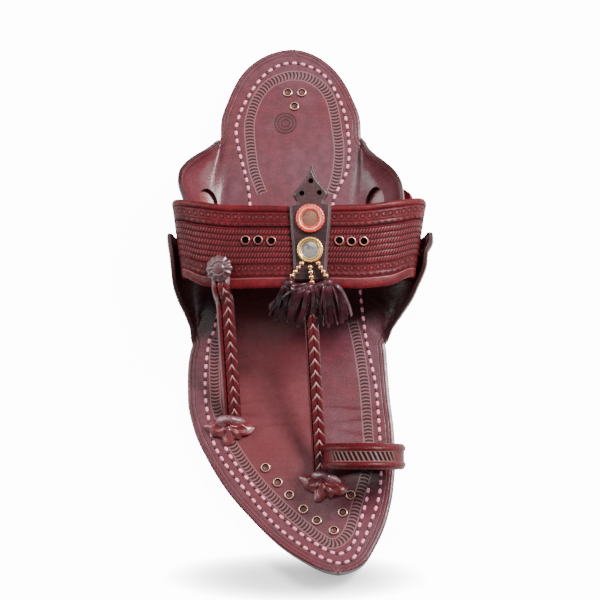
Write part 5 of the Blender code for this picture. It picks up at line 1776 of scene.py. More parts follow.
@dataclass
class CentreTab:
    """Leather tab over the band, its spade head past the rear edge, with three holes and a scribed border."""

    form: BandForm
    length: float = 57 * MM
    width: float = 20.4 * MM
    thickness: float = 2.0 * MM
    x: float = 13.4 * MM
    tail: float = 19.6 * MM
    hole: float = 1.25 * MM
    end_across: float = 0.93
    hollow: tuple[tuple[float, float], ...] = ((0.05, 0.2), (1.5, 0.2), (1.5, 0.0))
    outline: tuple[Tab, ...] = (
        Tab(0.000, 0.025), Tab(0.045, 0.050), Tab(0.105, 0.125), Tab(0.168, 0.245), Tab(0.235, 0.412),
        Tab(0.256, 0.420), Tab(0.310, 0.335), Tab(0.335, 0.335), Tab(0.350, 0.500), Tab(0.550, 0.470),
        Tab(0.730, 0.420), Tab(1.000, 0.390),
    )
    holes: tuple[Tab, ...] = (Tab(0.135, 0.0), Tab(0.240, -0.205), Tab(0.240, 0.205))

    def skin(self, along: Array, aside: Array, lift: Array) -> tuple[Array, Array]:
        """Points over the band at shares of the tab's length, and the vectors out of it."""
        share = (np.asarray(along) * self.length - self.tail) / (self.length - self.tail)
        across = share * self.end_across
        return self.form.skin(self.form.reach_at(self.x + aside, across), across, lift)

    def build(self, leather: Material, hollow: Material) -> None:
        """Make the tab between its outline's two sides, thinner at the rim, and cut its holes."""
        last = self.form.last
        rows = column(self.outline, "along")
        along = np.unique(np.concatenate([rows, np.linspace(0.0, 1.0, 110)]))[:, None]
        half = np.interp(along, rows, column(self.outline, "half")) * self.width
        share = np.sin(np.linspace(-0.5, 0.5, 27) * math.pi)[None, :]
        aside = share * half
        rim = np.minimum(half - np.abs(aside), (1.0 - along) * self.length + 0.0 * aside)
        soft = 0.75 * MM * (1.0 - smooth(rim / (1.1 * MM)))
        upper, _ = self.skin(along + 0.0 * aside, aside, last.gap + self.thickness - soft)
        lower, _ = self.skin(along + 0.0 * aside, aside, last.gap + 0.0 * aside)
        chart = np.stack([rim / MM, along * self.length / MM + 0.0 * aside], axis=-1)
        made = slab(upper, lower, {"tab": chart}).object("tab_leather", leather, 50.0)
        circle = self.hole * np.stack([np.cos(turns(20)), np.sin(turns(20))], axis=-1)
        blocks, discs = [], []
        for hole in self.holes:
            centre, out = self.skin(np.array(hole.along), np.array(hole.half * self.width), np.array(0.0))
            floor = centre + out * (last.gap + 0.5 * MM)
            # Painted shade: a near-black disc inside each hole.
            discs.append(lathe(floor, out, np.array(self.hollow) * MM, 20))
            blocks.append(block(circle, centre, *axes_about(out), 6 * MM))
        cut_out(made, blocks)
        hole_shade_discs = joined(discs).object("tab_hole_hollows", hollow)
        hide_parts("centre_tab")


@dataclass(frozen=True)
class TabLook:
    """Finish of the tab: waxed brown leather with a pale line scribed inside its edge."""

    leather: LeatherLook
    line: Colour = (0.22, 0.12, 0.12)
    scribed: float = 1.15
    paleness: float = 0.3

    def make(self, effects: SharedEffects) -> Material:
        """Build the material.

        Args:
            effects: The shared node groups.

        Returns:
            The tab's leather.
        """
        made, n, shader, mottle, grain = self.leather.begin(effects)
        rim, _ = n.pair("tab")
        cut = n.ramp(n.apart(rim, self.scribed), 0.30, 0.08)
        colour = n.mix(n.times(cut, self.paleness), mottle.outputs["Color"], self.line)
        height = n.math("MULTIPLY_ADD", cut, -1.2, grain.outputs["Height"])
        self.leather.finish(n, shader, colour, mottle.outputs["Roughness"], height)
        return made


STRINGS = (
    ((-3.2 * MM, 0.70), (-9.3 * MM, 0.90)),
    ((0.0, 0.74), (1.2 * MM, 0.985)),
    ((3.3 * MM, 0.70), (8.2 * MM, 0.90)),
)
LEAVES = (
    Leaf(0.00, 1.00), Leaf(0.05, 0.86), Leaf(0.09, 0.62), Leaf(0.13, 0.66), Leaf(0.17, 0.50),
    Leaf(0.22, 0.70), Leaf(0.27, 0.78), Leaf(0.33, 0.50), Leaf(0.38, 0.60), Leaf(0.41, 0.72),
    Leaf(0.46, 0.82), Leaf(0.50, 1.00), Leaf(0.55, 0.62), Leaf(0.60, 0.40), Leaf(0.67, 0.26),
    Leaf(0.83, 0.26), Leaf(0.92, 0.42), Leaf(0.97, 0.86), Leaf(1.00, 1.00),
)
EYELETS = {"band": 6, "bed": 11}
KNOT_DOME = ((0.0, 0.86), (0.22, 0.84), (0.5, 0.66), (0.85, 0.36), (1.0, 0.20))
KNOT_FOLDS = (Pleat(3.0, 0.4, 2.2, 0.30), Pleat(5.0, 2.1, -3.1, 0.17), Pleat(8.0, 1.0, 4.3, 0.09))


@dataclass
class Trims:
    """Metal and small leather pieces: mirrors, beads, eyelets, rosette and knots."""

    form: BandForm
    tab: CentreTab
    rim_height: float = 1.7 * MM
    lip: float = 0.9 * MM
    lip_reach: float = 0.75 * MM
    lip_lap: float = 0.5 * MM
    bead: float = 1.4 * MM
    beads: int = 4
    notches: int = 26
    notch: float = 0.022
    eyelet: float = 2.4 * MM
    eyelet_wall: float = 0.95 * MM
    eyelet_height: float = 0.8 * MM
    eyelet_sunk: float = 0.4 * MM
    hollow: tuple[tuple[float, float], ...] = ((0.05, 0.12), (1.0, 0.15), (1.6, 0.45), (1.7, -0.2))
    button: float = 6.5 * MM
    button_height: float = 2.6 * MM
    button_lift: float = 3.2 * MM
    button_x: float = -30 * MM
    button_across: float = 0.78
    scallops: int = 12
    knot_reach: float = 12.8 * MM
    knot_height: float = 6.5 * MM
    knot_ahead: float = 4.3 * MM
    cap_width: float = 7.6 * MM
    cap_depth: float = 3.3 * MM
    cap_height: float = 5.6 * MM
    cap_aside: float = 3.1 * MM

    def ring(self, centre: Array, out: Array, radius: float, wall: float, height: float,
             notches: int = 0) -> Surface:
        """A metal ring: a rounded section carried round a circle, its outer edge notched by a cosine."""
        right, up = axes_about(out)
        turn = turns(96 if notches else 40)[:, None]
        angle = turns(14)[None, :]
        far = radius - wall / 2 + wall / 2 * np.cos(angle)
        if notches:
            outer = smooth((np.cos(angle) + 0.1) * 1.5)
            far = far * (1.0 + self.notch * np.cos(notches * turn) * outer)
        fat = np.sign(np.sin(angle)) * np.abs(np.sin(angle)) ** 0.7
        tall = height / 2 + height / 2 * fat + 0.0 * turn
        flat = (far * np.cos(turn))[..., None] * right + (far * np.sin(turn))[..., None] * up
        chart = np.stack([far / MM + 0.0 * turn, turn + 0.0 * angle], axis=-1)
        return tube(centre + flat + tall[..., None] * out, {"round": chart}, closed=True)

    def mirror(self, name: str, along: float, radius: float, hole: float, rim: Material,
               glass: Material) -> None:
        """A domed glass in a notched rim, on the tab; `hole` is the glass's share of the rim's radius."""
        lift = 3 * self.form.last.gap + self.tab.thickness
        centre, out = self.tab.skin(np.array(along), np.array(0.0), np.array(lift))
        inner = radius * hole
        wall = radius - inner - self.lip_lap
        rings = [self.ring(centre, out, radius, wall, self.rim_height, self.notches),
                 self.ring(centre, out, inner + self.lip_reach, self.lip, self.rim_height * 0.95)]
        made = joined(rings).object(f"mirror_setting_{name}", rim)
        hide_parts(f"mirror_rim_{name}")
        disc = inner - 0.1 * MM
        share = np.linspace(0.02, 1.0, 14)
        dome = [(disc * s, self.rim_height * (0.66 - 0.16 * s**2)) for s in share]
        body = lathe(centre, out, np.array(dome + [(disc, self.rim_height * 0.1)]), 48)
        made = body.object(f"mirror_face_{name}", glass, 50.0)
        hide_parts(f"mirror_glass_{name}")

    def string(self, number: int, first: tuple[float, float], last: tuple[float, float],
               metal: Material) -> None:
        """Round beads in a row over the tab: a half circle's height at each, pinched between them."""
        share = np.linspace(0.0, 1.0, 97)
        within = 2.0 * self.beads * share % 2.0 - 1.0
        radius = self.bead * np.sqrt(np.clip(1.0 - within**2, 0.10, 1.0))
        x = self.tab.x + first[0] + (last[0] - first[0]) * share
        across = first[1] + (last[1] - first[1]) * share
        lift = 3 * self.form.last.gap + self.tab.thickness + 1.25 * self.bead
        line, _ = self.form.skin(self.form.reach_at(x, across), across, np.full_like(x, lift))
        right, up = crossways(unit(np.gradient(line, axis=0)))
        wide, tall = (radius[:, None] * way(turns(20))[None, :] for way in (np.cos, np.sin))
        made = tube(swept(line, right, up, wide, tall)).object(f"beads_{number}", metal)
        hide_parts(f"bead_string_{number}")

    def eyelets(self, metals: dict[str, Material],
                hollows: dict[str, Material]) -> None:
        """Rolled rings on the band and the footbed, a disc of painted shade in each, where the solids are."""
        last = self.form.last
        for kind, count in EYELETS.items():
            rings, cores = [], []
            for number in range(1, count + 1):
                low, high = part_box(f"{kind}_eyelet_{number}")
                middle = (np.array(low) + np.array(high)) / 2
                if kind == "bed":
                    share = float(last.share_at(middle[1]))
                    out = last.bed_slope(share)
                    centre = last.on_bed(middle[None, :2], last.gap)[0]
                else:
                    out = self.out_of_band(middle)
                    centre = middle - out * self.eyelet_sunk
                rings.append(self.ring(centre, out, self.eyelet, self.eyelet_wall, self.eyelet_height))
                # Painted shade: a dark disc in each eyelet's hole.
                cores.append(lathe(centre - out * 0.1 * MM, out, np.array(self.hollow) * MM, 24))
            made = joined(rings).object(f"{kind}_eyelets", metals[kind])
            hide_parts(*[f"{kind}_eyelet_{number}" for number in range(1, count + 1)])
            core = joined(cores).object(f"{kind}_eyelet_hollows", hollows[kind])

    def out_of_band(self, point: Array) -> Array:
        """Unit vector out of the band near a point."""
        rows = self.form.edges[0]
        across = (float(self.form.last.share_at(point[1])) - rows.rear) / (rows.front - rows.rear)
        return self.form.skin(self.form.reach_at(point[0], across), across, 0.0)[1]

    def rosette(self, leather: Material) -> None:
        """Scalloped button: the radius swells by a cosine and the face is ribbed towards the rim."""
        radius, across = self.button, self.button_across
        reach = self.form.reach_at(self.button_x, across)
        centre, out = self.form.skin(reach, across, self.button_lift + self.form.last.gap)

        def swell(turn: Array, far: Array) -> tuple[Array, Array]:
            """Factor on the radius and rise of the face for the scallops."""
            share, wave = far / radius, np.cos(self.scallops * turn)
            return 1.0 + 0.04 * wave * share**4, 0.16 * MM * wave * smooth(share * 1.6 - 0.3)

        share = np.linspace(0.02, 1.0, 26)
        face = self.button_height * (0.25 + 0.75 * (1.0 - share**2.6) - 0.18 * bump_at(share, 0.45, 0.1))
        rows = np.concatenate([np.stack([radius * share, face], axis=-1), [(radius, 0.0)]])
        body = lathe(centre, out, rows, 144, swell)
        made = body.object("rosette_button", leather, 50.0)
        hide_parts("rosette")

    def knot(self, name: str, foot: Waypoint, aside: float, tilt: float, leather: Material,
             cap: Material) -> None:
        """Crumpled leaf knot: two wings and a point towards the toe, creased by folded sines, and its cap.

        Args:
            name: Node that it stands for.
            foot: Foot of its braid.
            aside: X of its middle past the braid's foot.
            tilt: Turn of the wings.
            leather: Its material.
            cap: Material of the rolled cap.
        """
        last = self.form.last
        turn = np.linspace(0.0, 1.0, 144, endpoint=False)
        reach = np.interp(turn, column(LEAVES, "angle"), column(LEAVES, "reach")) * self.knot_reach
        reach = (np.roll(reach, 1) + 2 * reach + np.roll(reach, -1)) / 4
        angle = turn * 2 * math.pi + tilt
        way = np.stack([np.cos(angle), -np.sin(angle)], axis=-1)
        centre = last.spot(Spot(foot.along, foot.across)) + np.array([aside, -self.knot_ahead])
        share = np.linspace(0.02, 1.0, 40)[:, None]
        dome = np.interp(share, *zip(*KNOT_DOME))
        folds = np.zeros((len(share), len(turn)))
        for fold in KNOT_FOLDS:
            wave = turn[None] * math.pi * fold.count + fold.phase + fold.lean * share
            folds += fold.depth * (0.5 - np.abs(np.sin(wave)))
        flat = centre + way[None] * (reach[None] * share)[..., None]
        middle = float(last.bed_top(last.share_at(centre[1])))
        base = np.maximum(last.bed_top(last.share_at(flat[..., 1])), middle)
        swell = 0.35 + 0.65 * np.sin(np.clip(share * 1.15, 0.0, 1.0) * math.pi)
        tall = base + last.gap + self.knot_height * np.clip(dome + folds * swell, 0.10, 1.02)
        rings = np.concatenate([flat, tall[..., None]], axis=-1)
        foot_ring = np.concatenate([flat[-1:], (base[-1:] + last.gap)[..., None]], axis=-1)
        values = np.stack([share + 0.0 * turn[None], turn[None] + 0.0 * share], axis=-1)
        chart = {"round": np.concatenate([values, values[-1:]])}
        made = tube(np.concatenate([rings, foot_ring]), chart).object(f"leaf_{name}", leather, 40.0)
        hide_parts(name)
        self.cap(name, centre, tilt, cap)

    def cap(self, name: str, centre: Array, tilt: float, leather: Material) -> None:
        """Rolled cap over a braid's end: half an ellipse swung up over the bed, with three soft pleats."""
        last = self.form.last
        turn = turns(64)[None, :]
        share = np.linspace(0.02, 1.0, 16)[:, None]
        ahead = np.array([math.cos(tilt), -math.sin(tilt)])
        side = np.array([-ahead[1], ahead[0]])
        wide = self.cap_width * share * np.cos(turn) * (1.0 + 0.07 * np.cos(3 * turn + 0.6))
        deep = self.cap_depth * share * np.sin(turn) * (1.0 + 0.12 * np.cos(2 * turn))
        middle = centre + side * self.cap_aside
        flat = middle + wide[..., None] * ahead + deep[..., None] * side
        pleats = 0.35 * MM * np.cos(wide / (1.5 * MM)) * np.sin(share * math.pi)
        low = float(last.bed_top(last.share_at(centre[1]))) + last.gap
        tall = low + self.cap_height * np.sqrt(np.clip(1.0 - 0.97 * share**2, 0.0, 1.0)) + pleats
        rings = np.concatenate([flat, tall[..., None]], axis=-1)
        base = rings[-1:] * np.array([1.0, 1.0, 0.0]) + np.array([0.0, 0.0, low])
        made = tube(np.concatenate([rings, base])).object(f"cap_{name}", leather, 50.0)


STRIP_SECTION = (
    (-0.5, -0.25), (-0.5, 0.25), (-0.25, 0.5), (0.0, 0.42), (0.25, 0.5), (0.5, 0.25), (0.5, -0.25),
    (0.0, -0.5),
)


@dataclass
class Tassel:
    """Bunches of thin leather strips, tied in three lumps at the band's front edge and hanging over it."""

    form: BandForm
    tab: CentreTab
    spread: float = 20 * MM
    reach: float = 18 * MM
    drop: float = 13 * MM
    strip_width: float = 2.3 * MM
    strip_thickness: float = 0.65 * MM
    lump: float = 2.7 * MM
    tied: int = 3
    lift: float = 5.6 * MM
    seed: int = 11
    clusters: tuple[Cluster, ...] = (
        Cluster(-0.49, 0.03, -1.00, -0.42, 0.94, 10),
        Cluster(-0.01, 0.15, -0.98, 0.16, 1.06, 14),
        Cluster(0.45, 0.01, 0.14, 1.00, 1.08, 13),
        Cluster(0.02, 0.10, -1.02, -0.70, 0.80, 4),
        Cluster(0.40, 0.03, -0.10, 0.30, 0.98, 3),
    )

    def point(self, across: Array, ahead: Array) -> Array:
        """Points over the band, measured from the tab and from the band's front edge."""
        rows = self.form.edges[0]
        x = self.tab.x + np.asarray(across) * self.spread
        y = self.form.last.place(rows.front) - np.asarray(ahead) * self.reach
        share = np.clip((self.form.last.share_at(y) - rows.rear) / (rows.front - rows.rear), 0.0, 1.0)
        skin, _ = self.form.skin(self.form.reach_at(x, share), share, np.zeros_like(x))
        return np.stack([x, y, skin[..., 2] + self.lift], axis=-1)

    def strip(self, cluster: Cluster, number: int, random: np.random.Generator) -> Surface:
        """One strip: a thin section carried along a bowed line that falls to its tip and turns."""
        part = number / (cluster.count - 1)
        tip = cluster.first_tip + (cluster.last_tip - cluster.first_tip) * part
        tip = tip + random.normal(0.0, 0.035)
        ahead = cluster.reach * (0.82 + 0.18 * random.random()) * (1.0 - 0.34 * abs(2 * part - 1.0) ** 2)
        root = self.point(cluster.across + 0.10 * (part - 0.5), cluster.ahead - 0.07)
        end = self.point(tip, ahead)
        share = np.linspace(0.0, 1.0, 22)
        line = root + (end - root) * share[:, None]
        bow = random.normal(0.0, 1.7 * MM) + 2.0 * MM * (part - 0.5)
        line[:, 0] += bow * np.sin(share * math.pi)
        hump = (2.2 + 1.3 * random.random()) * MM * np.sin(np.clip(share * 1.6, 0, 1) * math.pi)
        fall = self.drop * (0.80 + 0.22 * random.random()) * share**1.6
        line[:, 2] = root[2] - fall + hump - 0.8 * MM * (number % 2)
        right, up = crossways(unit(np.gradient(line, axis=0)))
        twist = (random.normal(0.0, 0.5) * share + random.normal(0.0, 0.35))[:, None]
        wide = right * np.cos(twist) + up * np.sin(twist)
        thick = up * np.cos(twist) - right * np.sin(twist)
        width = self.strip_width * (0.75 + 0.35 * random.random())
        width = width * (0.55 + 0.45 * smooth(share * 3))[:, None]
        rings = [line + wide * a * width + thick * b * self.strip_thickness for a, b in STRIP_SECTION]
        return tube(np.stack(rings, axis=1))

    def bundle(self, cluster: Cluster) -> Surface:
        """The tied lump of a bunch: a round body with ribs from the strips drawn through it."""
        centre = self.point(cluster.across, cluster.ahead) + np.array([0.0, 0.0, 0.2 * self.lump])

        def ribs(turn: Array, far: Array) -> tuple[Array, Array]:
            """Ribs round the lump."""
            return 1.0 + 0.07 * np.cos(9 * turn + far / MM), 0.0

        angle = np.linspace(0.03, 0.97, 18) * math.pi
        profile = np.stack([self.lump * np.sin(angle), 0.86 * self.lump * np.cos(angle)], axis=-1)
        return lathe(centre, UP, profile, 48, ribs)

    def cord(self) -> Surface:
        """The strap that the bunches hang on, laid over the tab's end from lump to lump."""
        share = np.linspace(-0.57, 0.53, 40)
        line = self.point(share, 0.06 + 0.07 * (1.0 - np.abs(share / 0.55) ** 2))
        line[:, 2] -= 0.4 * MM
        right, up = crossways(unit(np.gradient(line, axis=0)))
        turn = turns(12)[None, :]
        return tube(swept(line, right, up, 1.7 * MM * np.cos(turn), 0.8 * MM * np.sin(turn)))

    def build(self, leather: Material) -> None:
        """Make the whole tassel as one piece."""
        random = np.random.default_rng(self.seed)
        strips = [self.strip(cluster, k, random) for cluster in self.clusters for k in range(cluster.count)]
        lumps = [self.bundle(cluster) for cluster in self.clusters[:self.tied]]
        plain = [Surface(part.points, part.quads, {}) for part in strips + lumps + [self.cord()]]
        made = joined(plain).object("tassel_strips", leather, 50.0)
        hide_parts("tassel")


@dataclass(frozen=True)
class Plain:
    """Finish in one tone and its worn tone: metal, lacquer, glass, thread, hollow or paper."""

    name: str
    colour: Colour
    roughness: float
    metallic: float = 0.0
    worn: Optional[Colour] = None
    scale: float = 350.0
    bump: float = 0.1
    # Painted shade: radius in millimetres within which a ring takes the hollow tone.
    dark_within: float = 0.0
    line_at: float = 0.0
    line: Colour = (0.90, 0.50, 0.32)
    # Tone of the painted shade inside a ring.
    hollow: Colour = (0.012, 0.003, 0.004)
    specular: float = 0.5

    def make(self) -> Material:
        """Build the material: the colour drifts to its worn tone in small clouds, with a fine bump."""
        made = bpy.data.materials.new(self.name)
        made.use_nodes = True
        n = Nodes(made.node_tree)
        shader = made.node_tree.nodes["Principled BSDF"]
        shader.inputs["Metallic"].default_value = self.metallic
        shader.inputs["Specular IOR Level"].default_value = self.specular
        place = n.place()
        clouds = n.ramp(n.noise(place, self.scale, 4.0, 0.6), 0.40, 0.62)
        colour = n.mix(clouds, self.colour, self.worn or self.colour)
        # Painted shade on the inner part of a ring, towards its hole.
        if self.dark_within:
            radius, _ = n.pair("round")
            inside = n.ramp(radius, self.dark_within + 0.1, self.dark_within - 0.1)
            colour = n.mix(inside, colour, self.hollow)
        if self.line_at:
            radius, _ = n.pair("round")
            near = n.ramp(n.apart(radius, self.line_at), 0.32, 0.12)
            colour = n.mix(near, colour, self.line)
        made.node_tree.links.new(colour, shader.inputs["Base Color"])
        rough = n.math("MULTIPLY_ADD", clouds, 0.12, max(0.02, self.roughness - 0.05))
        made.node_tree.links.new(rough, shader.inputs["Roughness"])
        fine = n.noise(place, self.scale * 3.0, 3.0, 0.6)
        bump = n.add("ShaderNodeBump", {"Strength": self.bump, "Distance": 0.1 * MM, "Height": fine})
        made.node_tree.links.new(bump.outputs["Normal"], shader.inputs["Normal"])
        return made


@dataclass
class Studio:
    """Pale floor, a key light from the big-toe side with three soft ones, and the photograph's camera."""

    last: Last
    eye: tuple[float, float, float] = (67.9 * MM, -438 * MM, 1046 * MM)
    aim: tuple[float, float, float] = (6.5 * MM, -98 * MM, 18 * MM)
    field: float = 303 * MM
    roll: float = math.radians(0.9)
    sky: float = 0.26
    glow: float = 12.0
    half_floor: float = 6.0
    # Painted shadow: an oval at the toe in which the floor's glow is cut.
    patch: Oval = Oval(5 * MM, -236 * MM, 66 * MM, 13 * MM)
    shadow_power: float = 3.8
    shadow_least: float = 0.03

    def camera(self) -> None:
        """Put the camera where the photograph was taken, turned to this shoe with +Y upwards."""
        data = bpy.data.cameras.new("camera")
        made = bpy.data.objects.new("camera", data)
        bpy.context.scene.collection.objects.link(made)
        eye, aim = Vector(self.eye), Vector(self.aim)
        data.lens = data.sensor_width * (aim - eye).length / self.field
        data.clip_start, data.clip_end = 0.01, 20.0
        made.location = eye
        back = (eye - aim).normalized()
        level = Vector((0.0, 1.0, 0.0)).cross(back).normalized()
        right = level * math.cos(self.roll) + back.cross(level) * math.sin(self.roll)
        turned = Matrix((right, back.cross(right), back)).transposed().to_4x4()
        made.matrix_world = Matrix.Translation(eye) @ turned
        bpy.context.scene.camera = made

    def light(self, name: str, place: tuple[float, float, float], size: float, power: float,
              colour: tuple[float, float, float] = (1.0, 1.0, 1.0)) -> None:
        """A square area light aimed at the shoe."""
        data = bpy.data.lights.new(name, "AREA")
        data.size = size
        data.energy = power
        data.color = colour
        made = bpy.data.objects.new(name, data)
        bpy.context.scene.collection.objects.link(made)
        made.location = place
        made.rotation_euler = (Vector(self.aim) - Vector(place)).to_track_quat("-Z", "Y").to_euler()

    def build(self, paper: Material) -> None:
        """Make floor, world, lights and camera; an oval at the toe dims the floor: a painted shadow."""
        mesh = bpy.data.meshes.new("floor")
        wide = self.half_floor
        corners = [(-wide, -wide, 0), (wide, -wide, 0), (wide, wide, 0), (-wide, wide, 0)]
        mesh.from_pydata(corners, [], [(0, 1, 2, 3)])
        shader = paper.node_tree.nodes["Principled BSDF"]
        path = paper.node_tree.nodes.new("ShaderNodeLightPath")
        n = Nodes(paper.node_tree)
        # Painted shadow: the glow falls to its least share in the oval's middle.
        away = n.math("MINIMUM", n.oval(self.patch), 1.0)
        clear = n.math("POWER", away, self.shadow_power)
        shadow_glow = n.math("MULTIPLY_ADD", clear, 1.0 - self.shadow_least, self.shadow_least)
        strength = n.times(n.times(path.outputs["Is Camera Ray"], self.glow), shadow_glow)
        paper.node_tree.links.new(strength, shader.inputs["Emission Strength"])
        shader.inputs["Emission Color"].default_value = (1.0, 1.0, 1.0, 1.0)
        mesh.materials.append(paper)
        floor = bpy.data.objects.new("floor", mesh)
        bpy.context.scene.collection.objects.link(floor)
        world = bpy.data.worlds.new("studio")
        world.use_nodes = True
        back = world.node_tree.nodes["Background"]
        back.inputs["Color"].default_value = (1.0, 1.0, 1.0, 1.0)
        path = world.node_tree.nodes.new("ShaderNodeLightPath")
        seen = Nodes(world.node_tree).math("MULTIPLY_ADD", path.outputs["Is Camera Ray"], self.glow, self.sky)
        world.node_tree.links.new(seen, back.inputs["Strength"])
        bpy.context.scene.world = world
        self.light("key", (0.75, 0.34, 1.05), 0.35, 30.0, (1.0, 0.985, 0.97))
        self.light("top", (-0.10, 0.40, 1.35), 0.9, 5.0)
        self.light("left", (-1.00, 0.20, 0.62), 0.8, 11.0)
        self.light("right", (1.05, 0.10, 0.55), 0.8, 6.0)
        self.camera()


RED = ((0.040, 0.0015, 0.003), (0.105, 0.0045, 0.008), (0.150, 0.009, 0.015))
PLUM = ((0.058, 0.006, 0.012), (0.116, 0.010, 0.019), (0.125, 0.028, 0.045))
BROWN = ((0.010, 0.003, 0.004), (0.034, 0.010, 0.012), (0.060, 0.020, 0.023))
DARK_RED = ((0.030, 0.001, 0.002), (0.078, 0.0032, 0.006), (0.115, 0.006, 0.011))

LEATHERS = {
    "edge": LeatherLook("burnished_edge", (0.010, 0.004, 0.005), (0.035, 0.012, 0.014),
                        (0.075, 0.028, 0.030), gloss=0.36, mottle=60.0, creases=0.2),
    "knot": LeatherLook("knot_leather", (0.050, 0.004, 0.007), (0.170, 0.013, 0.019),
                        (0.250, 0.050, 0.060), gloss=0.20, mottle=140.0, coat=0.8, creases=0.8),
    "lining": LeatherLook("lining_leather", (0.090, 0.006, 0.010), (0.210, 0.014, 0.020),
                          (0.280, 0.050, 0.058), gloss=0.24, mottle=90.0, coat=0.5),
    "button": LeatherLook("button_leather", (0.030, 0.010, 0.013), (0.085, 0.030, 0.036),
                          (0.150, 0.070, 0.080), gloss=0.22, mottle=160.0, coat=0.5, creases=0.5),
    # Painted sheen: the cap's pale grey-plum tones.
    "cap": LeatherLook("cap_leather", (0.070, 0.016, 0.022), (0.160, 0.050, 0.062),
                       (0.260, 0.120, 0.140), gloss=0.16, mottle=120.0, coat=0.8, creases=0.7),
    "strips": LeatherLook("strip_leather", (0.006, 0.001, 0.002), (0.022, 0.003, 0.006),
                          (0.075, 0.012, 0.022), gloss=0.26, mottle=60.0, coat=0.25, specular=0.25),
}
PLAINS = {
    "brass": Plain("brass_rolled", (0.88, 0.56, 0.42), 0.25, 1.0, (0.72, 0.38, 0.26), dark_within=1.85),
    "rosy": Plain("brass_rosy", (0.62, 0.26, 0.20), 0.3, 1.0, (0.40, 0.13, 0.10), dark_within=1.75),
    "copper": Plain("beads_copper_gold", (0.95, 0.66, 0.42), 0.2, 1.0, (0.80, 0.38, 0.20)),
    "coral": Plain("coral_lacquer", (0.60, 0.045, 0.035), 0.3, 0.1, (0.78, 0.11, 0.07), 420.0, line_at=5.35),
    "gold": Plain("gold_foil", (0.98, 0.72, 0.28), 0.3, 0.9, (0.90, 0.48, 0.14), 600.0, line_at=4.9,
                  line=(0.50, 0.22, 0.05)),
    # Painted reflection: the glass's dark worn-tone clouds stand for the mirror's reflected gradient.
    "glass": Plain("mirror_glass", (0.55, 0.51, 0.49), 0.3, 0.75, (0.17, 0.14, 0.14), 230.0),
    "smoked": Plain("mirror_glass_smoked", (0.34, 0.15, 0.10), 0.32, 0.5, (0.17, 0.075, 0.05), 160.0),
    "pink": Plain("thread_pink", (0.92, 0.27, 0.40), 0.45, 0.0, (0.95, 0.42, 0.53), 900.0, 0.4),
    "maroon": Plain("thread_maroon", (0.045, 0.004, 0.010), 0.5, 0.0, (0.08, 0.008, 0.018), 900.0, 0.4),
    # Painted shade: near-black discs in the band's eyelets and the tab's holes.
    "hollow": Plain("painted_hole_shade", (0.004, 0.001, 0.002), 0.9, specular=0.05),
    # Painted shade in the footbed's eyelets: the leather seen in each hole, darkened.
    "sunk": Plain("eyelet_leather_shade", (0.060, 0.006, 0.009), 0.4, 0.0, (0.140, 0.020, 0.026), 700.0),
    "paper": Plain("white_paper", (0.90, 0.90, 0.90), 0.7, 0.0, (0.91, 0.91, 0.91), 3.0, 0.0),
}


def make_finishes(last: Last, band: Band) -> dict[str, Material]:
    """Build every finish.

    Args:
        last: Sizes of the shoe, which the footbed's marks follow.
        band: The band, whose rows its finish follows.

    Returns:
        The materials by their short names.
    """
    effects = SharedEffects()
    bed = LeatherLook("bed_leather_dyed", *PLUM, gloss=0.26, mottle=22.0, creases=0.6, bump=0.3,
                      coat=0.3, specular=0.35)
    tooled = LeatherLook("band_leather_tooled", *RED, gloss=0.36, mottle=40.0, bump=0.6, coat=0.08,
                         specular=0.16)
    plait = LeatherLook("plait_leather", *RED, gloss=0.24, mottle=60.0, coat=0.6)
    ring = LeatherLook("ring_leather", *DARK_RED, gloss=0.32, mottle=50.0, coat=0.1, bump=0.5,
                       specular=0.15)
    tab = LeatherLook("tab_leather_waxed", *BROWN, gloss=0.3, mottle=70.0, coat=0.25, specular=0.3)
    marked = {"bed": BedLook(bed, last), "band": BandLook(tooled, band), "plait": PlaitLook(plait),
              "ring": RingLook(ring), "tab": TabLook(tab)}
    looks = {name: look.make(effects) for name, look in marked.items()}
    looks.update({name: look.plain(effects) for name, look in LEATHERS.items()})
    looks.update({name: look.make() for name, look in PLAINS.items()})
    return looks


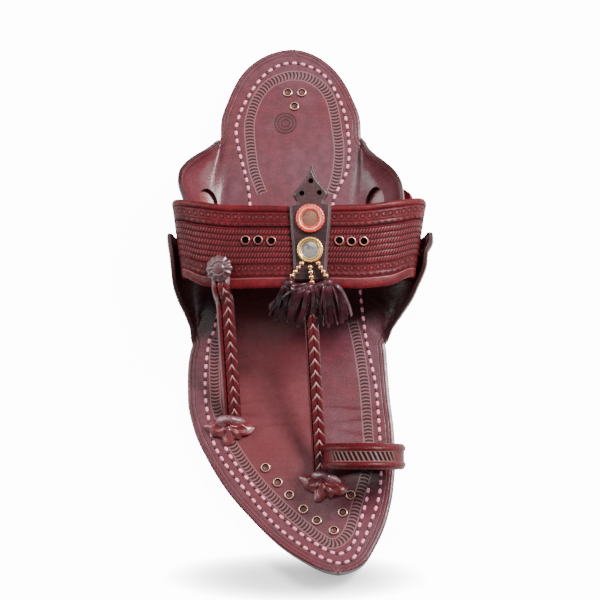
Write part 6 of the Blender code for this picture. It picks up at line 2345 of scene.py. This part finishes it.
def main() -> None:
    """Build every piece in a maker's order, then the studio, and report each."""
    logging.basicConfig(level=logging.INFO, format="%(name)s: %(message)s")
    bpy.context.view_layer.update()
    last = Last()
    form = BandForm(last)
    band = Band(form)
    looks = make_finishes(last, band)

    Sole(last).build(looks["edge"])
    LOG.info("sole made")
    footbed = Footbed(last)
    footbed.build(looks["bed"])
    WindowLinings(footbed).build(looks["lining"])
    LOG.info("footbed made")
    Stitching(last).build(looks["pink"], looks["maroon"])
    LOG.info("stitches made")
    strap = band.build(looks["band"])
    LOG.info("band made")
    lateral = Braid(form, "plait_lateral", LATERAL_BRAID, 9.0 * MM, 0.30, False, -30 * MM,
                    (0.72, 0.86, 1.02))
    centre = Braid(form, "plait_centre", CENTRE_BRAID, 7.0 * MM, 0.17, True, 13.4 * MM, (0.86, 1.0))
    for piece in (strap, lateral.build(looks["plait"]), centre.build(looks["plait"])):
        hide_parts("upper")
    LOG.info("plaits made")
    ToeRing(last).build(looks["ring"])
    LOG.info("toe ring made")
    tab = CentreTab(form)
    tab.build(looks["tab"], looks["hollow"])
    LOG.info("tab made")
    trims = Trims(form, tab)
    trims.mirror("upper", 0.465, 7.1 * MM, 0.60, looks["coral"], looks["smoked"])
    trims.mirror("lower", 0.735, 6.4 * MM, 0.68, looks["gold"], looks["glass"])
    for number, (start, end) in enumerate(STRINGS, 1):
        trims.string(number, start, end, looks["copper"])
    trims.eyelets({"band": looks["rosy"], "bed": looks["brass"]},
                  {"band": looks["hollow"], "bed": looks["sunk"]})
    trims.rosette(looks["button"])
    trims.knot("knot_lateral", LATERAL_BRAID[-1], -1.5 * MM, 0.05, looks["knot"], looks["cap"])
    trims.knot("knot_centre", CENTRE_BRAID[-1], 1.8 * MM, 0.28, looks["knot"], looks["cap"])
    LOG.info("trims made")
    Tassel(form, tab).build(looks["strips"])
    LOG.info("tassel made")
    Studio(last).build(looks["paper"])
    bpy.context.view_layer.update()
    LOG.info("studio made")


if __name__ == "__main__":
    main()
